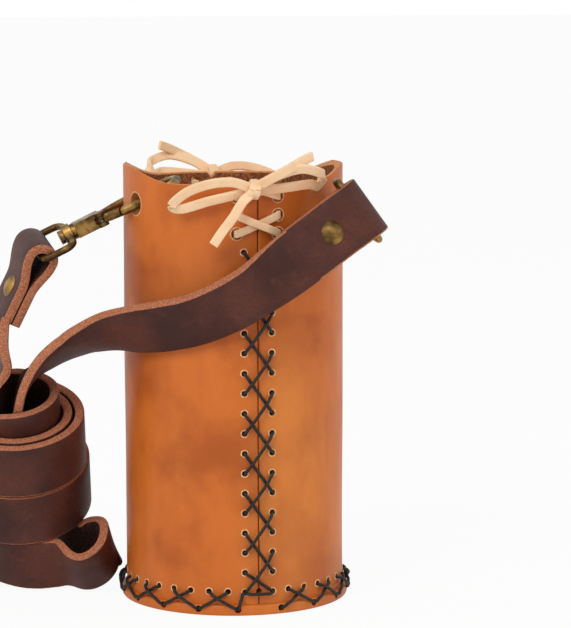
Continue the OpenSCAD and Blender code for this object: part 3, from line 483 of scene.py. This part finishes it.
# %% The panels
def panel(name, side):
    start = SEAM if side > 0 else SEAM + 180
    near = [0, 0.12, 0.3, 0.55, 0.9, 1.3, 1.8, 2.4]
    far = 180 - 2 * GAP_A
    turns = near + list(np.linspace(3.2, far - 3.2, 118)) + [far - v for v in reversed(near)]
    rings = []
    for turn in turns:
        a = start + GAP_A + turn
        edge = math.radians(min(turn, far - turn)) * R
        drop = EASE - math.sqrt(max(EASE ** 2 - max(EASE - edge, 0) ** 2, 0))
        out, inn = R - drop, R - WALL + drop * 0.6
        high_out = rim_high(out * math.sin(math.radians(a)), edge + GAP) - EASE
        high_in = rim_high(inn * math.sin(math.radians(a)), edge + GAP) - EASE
        outside = np.linspace(BASE_T + GROW, high_out, 44)
        ring = [(out + swell(a, z) * min(edge / 6, 1), z) for z in outside]
        ring += [(out - EASE + EASE * math.cos(t), high_out + EASE * math.sin(t))
                 for t in np.radians((30, 60, 90))]
        ring += [(inn + EASE - EASE * math.cos(t), high_in + EASE * math.sin(t))
                 for t in np.radians((90, 60, 30, 0))]
        ring += [(inn, z) for z in np.linspace(high_in, BASE_T + GROW, 30)[1:]]
        strips = [0] * 45 + [2] * 5 + [1] * (len(ring) - 51) + [2]
        rings.append(np.array([on_round(a, r, z) for r, z in ring]))
    wall = loft(name, rings, strips, [TAN, FLESH, CUT], ends=2)
    holes = holes_of(side) + [(seam, FOOT_Z, THREAD_HOLE) for seam in (start, start + 180)]
    cut(wall, punches(name + "_punch", holes, R - WALL - 2, R + 2))
    lips = rim_rings(name + "_lips", holes_of(side), R)
    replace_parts(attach(wall, "sleeve"), name)
    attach(lips, "sleeve")
    print(name, len(wall.data.polygons), "faces,", len(holes), "holes")
    wall.name = name + "_hide"


panel("left_panel", -1)
panel("right_panel", 1)

# %% [markdown]
# ## The base disc
# A disc of the same hide, a little wider than the sleeve. Its edge is slicked round by hand and holds the
# lower holes of the lacing. Turning a profile and cutting the ring of holes is how a maker would do it
# too.

# %% Base disc
BASE_R, EDGE_Z = 41.7, 0.6 * BASE_T


def disc():
    profile = [(0.02, 0), (20, 0), (36, 0), (40.9, 0), (41.35, 0.12), (41.6, 0.5), (BASE_R, 1.2),
               (BASE_R, 2.6), (41.58, 3.3), (41.3, 3.7), (40.8, BASE_T), (36, BASE_T), (20, BASE_T),
               (0.02, BASE_T)]
    rings = [np.array([on_round(a, r, z) for r, z in profile]) for a in np.arange(0, 360, 2.5)]
    strips = [1, 1, 1, 2, 2, 2, 2, 2, 2, 0, 0, 0, 0, 0]
    made = loft("base_hide", rings, strips, [TAN, FLESH, TAN], ends=None, sharp=50)
    holes = [(SEAM + seam + EDGE_START + j * EDGE_STEP, EDGE_Z, DISC_HOLE)
             for seam in (0, 180) for j in range(CROSSES + 1)]
    cut(made, punches("base_punch", holes, BASE_R - 3, BASE_R + 1))
    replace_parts(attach(made, "sleeve"), "base_disc")
    print("base disc", len(made.data.polygons), "faces,", len(holes), "edge holes")


disc()

# %% [markdown]
# ## Black lacing
# One waxed cord goes up each seam in crosses, and one cord for each half binds the panels to the disc.
# The cord is laid through the holes as points of angle, height and radius. Its section has three soft
# lobes that turn along the way, which reads as twisted yarn.

# %% Twisted cord
CORD = 0.57
CORD_OUT, CORD_IN, LIE = R + 0.75, R - WALL - 0.75, 0.15
CORD_OVER = CORD_OUT + 1.2 + LIE


def twisted(name, route, node, smooth=5):
    line = smooth_line([on_round(a, r, z) for a, z, r in route], smooth)
    away = 0.0
    rings, n = [], None
    for i, p in enumerate(line):
        l = unit(line[min(i + 1, len(line) - 1)] - line[max(i - 1, 0)])
        guess = n if n is not None else np.cross(l, (0, 0, 1)) + (1e-4, 0, 0)
        n = unit(guess - l * (guess @ l))
        b = np.cross(l, n)
        if i:
            away += np.linalg.norm(p - line[i - 1])
        rings.append(np.array([
            p + (n * math.cos(t) + b * math.sin(t)) * CORD * (1 + 0.07 * math.cos(3 * t - away * 1.9))
            for t in np.radians(np.arange(12) * 30)]))
    made = loft(name, rings, [0] * 12, [BLACK], sharp=80)
    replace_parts(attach(made, "sleeve"), node)


def strand(a0, z0, a1, z1, high):
    top = CORD_OVER if high else CORD_OUT
    lift = (0.45, 1, 1, 1, 0.45)
    mid = [(a0 + (a1 - a0) * t, z0 + (z1 - z0) * t, CORD_OUT + (top - CORD_OUT) * up)
           for t, up in zip((0.1, 0.25, 0.5, 0.75, 0.9), lift)]
    return [(a0, z0, CORD_IN), (a0, z0, CORD_OUT - 0.6)] + mid + [(a1, z1, CORD_OUT - 0.6), (a1, z1, CORD_IN)]


def seam_route(a):
    l, r, route = a - SEAM_A, a + SEAM_A, []
    for k in range(8):
        route += strand(l, ROWS[2 * k], r, ROWS[2 * k + 2], False)
        route += strand(r, ROWS[2 * k + 1], l, ROWS[2 * k + 3], True)
    route += strand(l, ROWS[16], r, ROWS[17], False) + strand(r, ROWS[17] - 0.5, l, ROWS[17] - 0.3, True)
    return route + [(l - 1, ROWS[17] - 0.5, CORD_IN), (l - 1, ROWS[17] - 0.5, CORD_OUT)] + foot_strand(
        a - EDGE_START, l - 1, False)[::-1] + [(a - EDGE_START, EDGE_Z, BASE_R - 1.2)]


def foot_strand(a0, a1, high):
    far = (0.55, 0.6, 0.65, 0.75, 0.6, -0.7) if high else (0.55, 0.55, 0.45, -0.35, -0.5, -0.9)
    return [(a0 + (a1 - a0) * t, EDGE_Z + (FOOT_Z - EDGE_Z) * t, BASE_R + out)
            for t, out in zip((0.08, 0.22, 0.38, 0.6, 0.72, 0.92), far)]


def foot_route(start):
    route = []
    for j in range(CROSSES):
        v0, v1 = start + EDGE_START + j * EDGE_STEP, start + EDGE_START + (j + 1) * EDGE_STEP
        middle = (v0 + v1) / 2
        route += [(v0, EDGE_Z, BASE_R - 1.2)] + foot_strand(v0, middle + PAIR / 2, False)
        route += [(middle + PAIR / 2, FOOT_Z, CORD_IN), (middle - PAIR / 2, FOOT_Z, CORD_IN)]
        route += foot_strand(v1, middle - PAIR / 2, True)[::-1]
    return route + [(start + 180 - EDGE_START, EDGE_Z, BASE_R - 1.2)]


for name, turn in (("front", SEAM), ("back", SEAM + 180)):
    twisted(name + "_seam_lacing", seam_route(turn), name + "_seam_cord")
for name, turn in (("right", SEAM), ("left", SEAM + 180)):
    twisted(name + "_foot_lacing", foot_route(turn), name + "_base_cord", 4)
print("laced the two seams and the foot")

# %% [markdown]
# ## The pale lace and its bow
# A flat lace closes the top of each seam with one big cross and a bow. Every part of it is a thin strip
# of leather, so each is a band with eased edges along its own smooth line, and two short turns of band
# make the knot.

# %% Lace and bow
LACE_W, LACE_T = 3.4, 1.5
LACE_OUT, LACE_IN = R + LACE_T / 2 + LIE, R - WALL - LACE_T / 2 - LIE
LACE_OVER, PASS_W, KNOT_A, KNOT_OUT, KNOT_Z = LACE_OUT + LACE_T + LIE, 2.72, -3.5, R + 4.08, LOW - 1.36
BOW = {
    "left_loop": ([(-.5, .4, .25), (-2.2, .65, .8), (-4.4, .3, .65), (-6.6, -.8, -.2), (-8.1, -1.7, -1.6),
                   (-7.1, -1.8, -2), (-4.6, -.5, -1.2), (-2.3, -.1, -.65), (-.5, -.3, -.25)],
                  (0.1, -0.45, 1)),
    "right_loop": ([(.5, .4, .25), (2.4, .9, 1.4), (4.9, 1, 2.1), (7, .1, 1.6), (7.7, -1.9, 1),
                    (7.1, -2.1, .1), (6, -.7, .4), (3, .1, .1), (.5, -.3, -.2)], (-0.2, -0.5, 1)),
    "low_tail": ([(-.35, .55, -.5), (-1.2, .9, -1.2), (-2.2, .8, -2.8), (-3.2, .4, -4.2), (-4.1, .1, -5.6)],
                 (0.8, -0.2, -0.5)),
    "high_tail": ([(.4, .75, .4), (1.7, 1.5, 1.2), (3.4, 1.6, 2.1), (5.1, .6, 2.9), (6.2, -.1, 3.3)],
                  (-0.5, -0.3, 0.8)),
}


def lace_band(name, route, across, wide, steps=6):
    line = smooth_line([on_round(a, r, z) for a, z, r in route], steps)
    return band(name, line, [np.asarray(across, float)] * len(line), wide, LACE_T, 0.35, [PALE, PALE, PALE])


def lace(name, a, node):
    l, r, up = a - LACE_A, a + LACE_A, np.array((0, 0, 1.0))
    side, parts = on_round(a + 90, 1, 0), []
    for k, (h0, h1, mid) in enumerate(((l, r, LACE_OUT), (r, l, LACE_OVER))):
        route = [(h0, LACES[0], LACE_IN), (h0, LACES[0], LACE_OUT - 0.4)]
        route += [(h0 + (h1 - h0) * t, LACES[0] + 6.5 * t, mid) for t in (0.25, 0.5, 0.75)]
        route += [(h1, LACES[1], LACE_OUT - 0.4), (h1, LACES[1], LACE_IN)]
        parts.append(lace_band(f"{name}_cross{k}", route, up + on_round(a, 0.1, 0), PASS_W))
    parts.append(lace_band(name + "_inner", [(l - 1.5, LACES[0], LACE_IN), (a, LACES[0], LACE_IN),
                                             (r + 1.5, LACES[0], LACE_IN)], up, PASS_W))
    for s, h in ((-1, l), (1, r)):
        parts.append(lace_band(f"{name}_up{s + 1}", [(h, LACES[1] - 1, LACE_IN), (h, LACES[1] + 3, LACE_IN),
                                                     (h, LACES[2] + 1, LACE_IN)], side, PASS_W))
        off, rise, out = a + KNOT_A - h, KNOT_Z - LACES[2], KNOT_OUT - LACE_OUT
        route = [(h, LACES[2], LACE_IN), (h, LACES[2], LACE_OUT - 0.4),
                 (h + off * .35, LACES[2] + rise * .4, LACE_OUT + out * .55),
                 (h + off * .85, KNOT_Z, KNOT_OUT - LACE_T)]
        parts.append(lace_band(f"{name}_tie{s + 1}", route, up, PASS_W))
    turn = math.radians(a + KNOT_A)
    spun = np.array([[math.cos(turn), -math.sin(turn), 0], [math.sin(turn), math.cos(turn), 0], [0, 0, 1]])
    put = lambda v: spun @ (np.array((0, -KNOT_OUT, KNOT_Z)) + np.array((v[0], -v[1], v[2])) * LACE_W)
    for part, (shares, broad) in BOW.items():
        line = np.array([put(v) for v in smooth_line(shares, 9)])
        parts.append(band(f"{name}_{part}", line, [spun @ np.array(broad)] * len(line),
                          LACE_W, LACE_T * 0.9, 0.35, [PALE, PALE, PALE]))
    for k, (shift, lean) in enumerate(((-0.22, 0.35), (0.3, 0.12))):
        ring = [put((shift + lean * math.sin(t), 0.98 * math.cos(t), 0.82 * math.sin(t)))
                for t in np.radians(np.arange(0, 361, 12))]
        parts.append(band(f"{name}_knot{k}", np.array(ring), [spun @ np.array((1, 0, -0.2))] * len(ring),
                          2.5, LACE_T, 0.45, [PALE, PALE, PALE]))
    made = joined(name + "_tied", parts)
    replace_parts(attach(made, "sleeve"), node)
    print(node, len(made.data.polygons), "faces")


lace("front_lace", SEAM, "front_lace")
lace("back_lace", SEAM + 180, "back_lace")

# %% [markdown]
# ## The strap's route
# The strap is a single line: from the right eye over the front, down the middle of the coil, out into a
# small loop at its foot, up round the coil in turns that climb and nest, and on to the left eye. Each key
# of the line is a place and the direction of the strap's width there, so the strap can lean and twist on
# its way.

# %% Places of the two eyes
STRAP_W, STRAP_T, TAIL, LEG = 21.0, 3.4, 27.0, 1.75
LEFT = {"bar": (-71.699, -5.01368, 128.581), "b": (-0.171581, 0.960667, 0.218355),
        "d": (-0.43273, 0.125625, -0.892728), "n": (-0.885045, -0.247664, 0.394155), "rivet": 16.0}
RIGHT = {"bar": (39.7951, -43.3507, 144.053), "b": (-0.57842, 0.0587649, 0.81362),
         "d": (-0.799859, -0.2367, -0.551542), "n": (0.160172, -0.969804, 0.183916), "rivet": 13.5}
for place in (LEFT, RIGHT):
    for key in ("bar", "b", "d", "n"):
        place[key] = np.array(place[key])
    place["start"] = place["bar"] + TAIL * place["d"] + LEG * place["n"]

# %% Keys across the front
TOWARD = np.array([math.sin(math.radians(-6)), -math.cos(math.radians(-6)), 0])
FRONT = [(5, -48.5, 119, 24), (-6, -47.7, 112.3, 28), (-18, -44.6, 107, 31), (-28.5, -39, 104.2, 34),
         (-38.5, -31, 102, 40), (-48, -22.8, 99.8, 52), (-57.5, -16.7, 96, 63), (-64.9, -13.2, 92, 70),
         (-70.3, -11.1, 87.6, 76), (-73.6, -10.3, 83.2, 82)]
points = [RIGHT["start"] - 8 * RIGHT["d"], RIGHT["start"]] + [np.array(p[:3], float) for p in FRONT]
front_keys = []
for i, p in enumerate(points):
    l = unit(points[min(i + 1, len(points) - 1)] - points[max(i - 1, 0)])
    lean = math.radians(FRONT[i - 2][3]) if i > 1 else 0
    wide = -RIGHT["b"]
    if i > 1:
        wide = unit(math.cos(lean) * unit(np.cross(TOWARD, l)) - math.sin(lean) * TOWARD)
    front_keys.append([*p, *wide])

# %% Keys of the coil
COIL_R, LEAN, LOOP_R, CLEAR = 24.1, 27.0, 9.0, 0.95
LIFT, NEST, FOOT = STRAP_W + CLEAR, STRAP_T + CLEAR, 0.42 * STRAP_W
RING_X, RING_Y, RING_Z = COIL_R + 0.2, -0.76 * COIL_R, 0.56 * STRAP_W
COIL_AT = np.array([-76.8, 28.5, (LOOP_R + STRAP_T / 2 - RING_Y) * math.sin(math.radians(LEAN)) + 0.4])
tip, yaw = math.radians(LEAN), math.radians(-6)
YAWED = np.array([[math.cos(yaw), -math.sin(yaw), 0], [math.sin(yaw), math.cos(yaw), 0], [0, 0, 1]])
TIPPED = np.array([[1, 0, 0], [0, math.cos(tip), -math.sin(tip)], [0, math.sin(tip), math.cos(tip)]])
LEANING = YAWED @ TIPPED


def coil_key(x, y, z, wide=(0, 0, 1)):
    return [*(COIL_AT + LEANING @ np.array((x, y, z), float)), *(LEANING @ unit(wide))]


def ease(t):
    t = min(max(t, 0), 1)
    return t * t * (3 - 2 * t)


core = [coil_key(3, -2.2, 75.5, (.03, 1, -.04)), coil_key(1, -2.2, 69, (0, 1, 0)),
        coil_key(.5, -2.2, 61, (0, 1, 0)), coil_key(.3, -2.2, 51, (0, 1, 0)),
        coil_key(0, -1.5, 42, (0, 1, 0)), coil_key(-1, -.5, 33, (0, 1, 0)),
        coil_key(-3.5, 0, 25, (0, 1, .1)), coil_key(-8, -1.5, 18.5, (.1, 1, .25)),
        coil_key(-12.5, -5, 13.5, (.3, .9, .55)), coil_key(-13.5, -12, 10, (.3, .4, .85)),
        coil_key(-9, -18, FOOT, (.05, 0, 1)), coil_key(-2, 2.2 - COIL_R, FOOT),
        coil_key(5, 1.2 - COIL_R, FOOT + .1, (0, .04, 1)),
        coil_key(10, 1.4 - COIL_R, FOOT + .2, (-.02, .03, 1)),
        coil_key(14.2, 1.6 - COIL_R, FOOT + .4, (-.05, 0, 1)),
        coil_key(RING_X - 6.9, RING_Y - 5.8, FOOT + .4, (-.14, -.18, 1)),
        coil_key(RING_X - 3.8, RING_Y - 8.1, FOOT, (-.18, -.3, 1))]
for a in range(-90, 91, 30):
    s, c, past = math.sin(math.radians(a)), math.cos(math.radians(a)), max(0, a) / 90
    high = RING_Z + (FOOT - RING_Z) * past + 0.36 * LOOP_R * s * (1 if a < 0 else 0.07) + 0.22 * LOOP_R * c
    core.append(coil_key(RING_X + LOOP_R * c, RING_Y + LOOP_R * s, high,
                         (-.18 + .17 * min(1.5 * past, 1), -.36 * math.cos(math.radians(max(0, a) / 2)), 1)))
core += [coil_key(18.5, -7.8, FOOT - .2, (-.04, -.05, 1)), coil_key(14, -2.5, FOOT, (-.06, 0, 1)),
         coil_key(12, 6, FOOT), coil_key(10, 14, FOOT + 1)]
CLIMB = (85, 190, 240, 415, 550), (.12, .95, 1, 1, 2)


def climb(a):
    """How many widths of strap the coil has climbed at angle a, averaged over 30 degrees."""
    return sum(np.interp(a + d, *CLIMB) for d in (-15, 0, 15)) / 3


def shrink(a):
    """How many turns the coil has nested inwards at angle a."""
    return ease((a - 687) / 97) + ease((a - 1047) / 97) + 0.96 * ease((a - 1400) / 110)


def rise(a):
    """How far the inner turns stand out of the outer ones at angle a."""
    return np.interp(a, (1170, 1290, 1350, 1440, 1530), (0, 5, 8, 9.7, 9))


turns = [coil_key((COIL_R - NEST * shrink(a)) * math.cos(math.radians(a)),
                  (COIL_R - NEST * shrink(a)) * math.sin(math.radians(a)), FOOT + LIFT * climb(a) + rise(a))
         for a in range(85, 1511, 15)]
TOP = FOOT + 2 * LIFT + rise(1510)

# %% Keys up to the left eye, and the whole line
left = [coil_key(-.4, 11.3, TOP), coil_key(-4.2, 9.5, TOP + .2, (0, .1, 1)),
        coil_key(-5.3, 6, TOP + 1.2, (0, .35, .95)), coil_key(-6, 2.8, TOP + 4, (0, .7, .7)),
        coil_key(-6.9, .4, TOP + 8.5, (0, .95, .3)),
        coil_key(-7.6, -.5, TOP + 14, (0, 1, 0))]
left += [[*p, *unit((-.1, .98, .15))] for p in ((-84.6, -4.5, 87.5), (-85.2, -4.5, 95))]
left += [[*(LEFT["start"] - s * LEFT["d"]), *LEFT["b"]] for s in (0, 8)]
keys = np.array(front_keys + core + turns + left)
FINE = 5
route = smooth_line(keys, FINE)
coil_from, left_from = (len(front_keys) - 1) * FINE, (len(keys) - len(left) - 1) * FINE
route_to, core_to = (len(keys) - 2) * FINE, coil_from + len(core) * FINE
# The keys are given one by one, so their small unevenness is eased where it shows: most of all at the coil's
# mouth, and from there to the end of the small loop.
for first, last, passes in ((coil_from - 14, coil_from + 12, 30), (coil_from + 13, core_to, 7)):
    for _ in range(passes):
        around = (route[first - 1:last - 1] + route[first + 1:last + 1]) / 2
        route[first:last] += 0.4 * (around - route[first:last])
steps = np.linalg.norm(np.diff(route[FINE:route_to + 1, :3], axis=0), axis=1)
print("strap line", len(route), "places,", round(steps.sum() + 4 * TAIL + 18), "mm of strap with its ends")

# %% [markdown]
# ## The strap itself
# The band follows the line with a slightly rounded section whose strips take grain, raw edge and flesh.
# The coil rests with the sleeve. The two free stretches end at eyes that swing and turn, so each is cut
# in two: one part from the sleeve to the hook, and the next from the hook to the eye.

# %% Strap stretches
LEATHER = [GRAIN, RAW, STRAP_BACK]


def stretch(name, first, last, starts=None, ends=None):
    line = route[first:last + 1]
    if starts is None:
        starts = route[first + 1, :3] - route[first - 1, :3]
    if ends is None:
        ends = route[last + 1, :3] - route[last - 1, :3]
    made = band(name, line[:, :3], line[:, 3:], STRAP_W, STRAP_T, 0.5, LEATHER, starts, ends, 0.05)
    return made


def bend(piece, first, last):
    """Works out a bend for a stretch between two places of the route, and prints how many mm of room it has;
    the stretch is then only baked in place, not bent. The bend runs square to the strap's width and stops
    short of both places. That doesn't keep the cut sections whole: far from rest, cracks open where stretches
    of the left run meet each other and the end."""
    here, there = route[first, :3], route[last, :3]
    wide = unit(unit(route[first, 3:]) + unit(route[last, 3:]))
    along = unit(there - here - wide * ((there - here) @ wide))
    end = here + along * ((there - here) @ along)
    room = []
    for i in (first, last):
        across, ahead = unit(route[i, 3:]), unit(route[i + 1, :3] - route[i - 1, :3])
        flat = np.cross(across, ahead)
        room.append(STRAP_W / 2 * abs(across @ along) + STRAP_T / 2 * abs(flat @ along) + 0.1)
    print(piece.name, "bends in", round(float((end - here) @ along) - sum(room), 1), "mm")
    (here + along * room[0]) * MM
    (end - along * room[1]) * MM
    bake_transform(piece)


front_mid, front_loose = 2 * FINE, 5 * FINE
left_mid, left_loose = left_from + 8 * FINE, left_from + 5 * FINE
coil = stretch("coiled_strap", coil_from, left_from)
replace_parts(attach(coil, "sleeve"), "strap_coil")
low = stretch("front_strap_low", front_mid, coil_from)
bend(low, front_loose, front_mid)
high = stretch("front_strap_high", FINE, front_mid, starts=RIGHT["d"])
bend(high, front_mid, FINE)
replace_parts(low, "strap_front_run")
low = stretch("left_strap_low", left_from, left_mid)
bend(low, left_loose, left_mid)
high = stretch("left_strap_high", left_mid, route_to, ends=-LEFT["d"])
bend(high, left_mid, route_to)
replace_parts(low, "strap_left_run")
print("strap's coil", len(coil.data.polygons), "faces")

# %% [markdown]
# ## Strap ends
# Each end goes once round the bar of its eye and is held by a rivet, with the two layers pressed together
# below it. It is the same band on a line drawn beside the bar.

# %% Strap ends
WIRE = 2.6
BULB_R = STRAP_T / 2 + WIRE + LIE
BULB_X = BULB_R - STRAP_T / 2 - WIRE / 2 - 2 * LIE


def strap_end(name, place, body, node):
    meet = place["rivet"] - 2
    leg = lambda x: LEG + (BULB_R - LEG) * (0.5 + 0.5 * math.cos(math.pi * (x - BULB_X) / (meet - BULB_X)))
    path = [(TAIL, LEG), ((TAIL + meet) / 2, LEG)] + [(x, leg(x)) for x in np.linspace(meet, BULB_X, 12)]
    path += [(BULB_X + BULB_R * math.cos(t), BULB_R * math.sin(t))
             for t in np.radians(np.linspace(90, 270, 19)[1:-1])]
    path += [(x, -leg(x)) for x in np.linspace(BULB_X, meet, 12)] + [((TAIL + meet) / 2, -LEG), (TAIL, -LEG)]
    line = np.array([place["bar"] + x * place["d"] + y * place["n"] for x, y in path])
    made = band(name, line, [place["b"]] * len(line), STRAP_W, STRAP_T, 0.5, LEATHER,
                -place["d"], place["d"], 0.04)
    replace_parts(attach(made, body), node)


strap_end("left_strap_loop", LEFT, "left_eye", "strap_left_end")
strap_end("right_strap_loop", RIGHT, "right_eye", "strap_right_end")

# %% [markdown]
# ## Hooks, eyes and rivets
# The metal pieces are exact in CAD, so their meshes are copied and only softened: cast and tumbled brass
# has no sharp arris. A narrow bevel on the hard edges of the hook bodies, gates and eyes catches the light as
# the real one does.

# %% Metal pieces
def cast(node, finish, body, soft):
    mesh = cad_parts[node].data.copy()
    work = bmesh.new()
    work.from_mesh(mesh)
    bmesh.ops.remove_doubles(work, verts=work.verts, dist=1e-6)
    bmesh.ops.dissolve_limit(work, angle_limit=math.radians(1), verts=work.verts, edges=work.edges)
    work.to_mesh(mesh)
    work.free()
    mesh.materials.clear()
    mesh.materials.append(finish)
    mesh.polygons.foreach_set("use_smooth", [True] * len(mesh.polygons))
    made = bpy.data.objects.new(node + "_metal", mesh)
    bpy.context.scene.collection.objects.link(made)
    if soft:
        bevel = made.modifiers.new("tumbled", "BEVEL")
        bevel.width, bevel.segments = soft * MM, 2
        bevel.limit_method, bevel.angle_limit = "ANGLE", math.radians(35)
        bevel.harden_normals = True
    mesh.set_sharp_from_angle(angle=math.radians(60 if soft else 35))
    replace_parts(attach(made, body), node)


METAL = [("hook_body", BRASS, "hook", "old_brass", 0.2), ("gate_pin", BRASS, "hook", "old_brass", 0),
         ("gate_spring", STEEL, "hook", "spring_steel", 0), ("gate", BRASS, "gate", "old_brass", 0.12),
         ("eye", BRASS, "eye", "old_brass", 0.12), ("rivet_cap", RIVET, "eye", "old_brass", 0),
         ("rivet_post", RIVET, "eye", "old_brass", 0)]
for side in ("left", "right"):
    for node, finish, body, slot, soft in METAL:
        cast(f"{side}_{node}", finish, f"{side}_{body}", soft)
print("finished", 2 * len(METAL), "metal pieces")

# %% [markdown]
# ## Floor and light
# The photograph has a white ground and broad soft light, stronger from the upper left. A white world that
# only the camera and reflections see gives the ground. Dimmer light from all round and two big lamps show
# the shape at a plain level. The floor is mostly its own white, and keeps a soft shadow under the
# carrier.

# %% Floor and light
def floor():
    mesh = bpy.data.meshes.new("floor")
    corners = [(x, y, -0.0002) for x, y in ((-9, -3), (9, -3), (90, 90), (-90, 90))]
    mesh.from_pydata(corners, [], [(0, 1, 2, 3)])
    f = Finish("white_floor", Roughness=0.9, Specular_IOR_Level=0.1)
    f.shader.inputs["Base Color"].default_value = (0.95, 0.95, 0.95, 1)
    seen = f.node("ShaderNodeLightPath", out="Is Camera Ray")
    glossy = f.node("ShaderNodeLightPath", out="Is Glossy Ray")
    white = f.node("ShaderNodeEmission", None, {"Color": (1, 1, 1, 1), "Strength": 1.0})
    both = f.node("ShaderNodeMixShader", None,
                  {0: seen * 0.93 + glossy * 0.5, 1: Strand(f, f.shader.outputs[0]), 2: white})
    f.tree.links.new(both.out, f.tree.nodes["Material Output"].inputs["Surface"])
    mesh.materials.append(f.material)
    ground = bpy.data.objects.new("floor", mesh)
    bpy.context.scene.collection.objects.link(ground)


def lamp(name, place, aim, wide, power):
    light = bpy.data.lights.new(name, "AREA")
    light.shape, light.size, light.energy = "DISK", wide, power
    made = bpy.data.objects.new(name, light)
    made.location = place
    made.rotation_mode = "QUATERNION"
    made.rotation_quaternion = (Vector(aim) - Vector(place)).to_track_quat("-Z", "Y")
    bpy.context.scene.collection.objects.link(made)


floor()
lamp("soft_left", (-0.75, -1.0, 1.0), (0, 0, 0.08), 0.9, 9.0)
lamp("soft_right", (1.1, -0.5, 0.6), (0, 0, 0.08), 0.8, 2.5)
world = bpy.data.worlds.new("studio")
bpy.context.scene.world = world
world.use_nodes = True
sky = Graph(world.node_tree)
seen, glossy, glass = [sky.node("ShaderNodeLightPath", out=f"Is {kind} Ray")
                       for kind in ("Camera", "Glossy", "Transmission")]
level = sky.node("ShaderNodeMapRange", None, {"Value": seen | glossy | glass, "To Min": 0.55, "To Max": 1.0})
backdrop = sky.tree.nodes["Background"]
backdrop.inputs["Color"].default_value = (1, 1, 1, 1)
sky.tree.links.new(level.out, backdrop.inputs["Strength"])
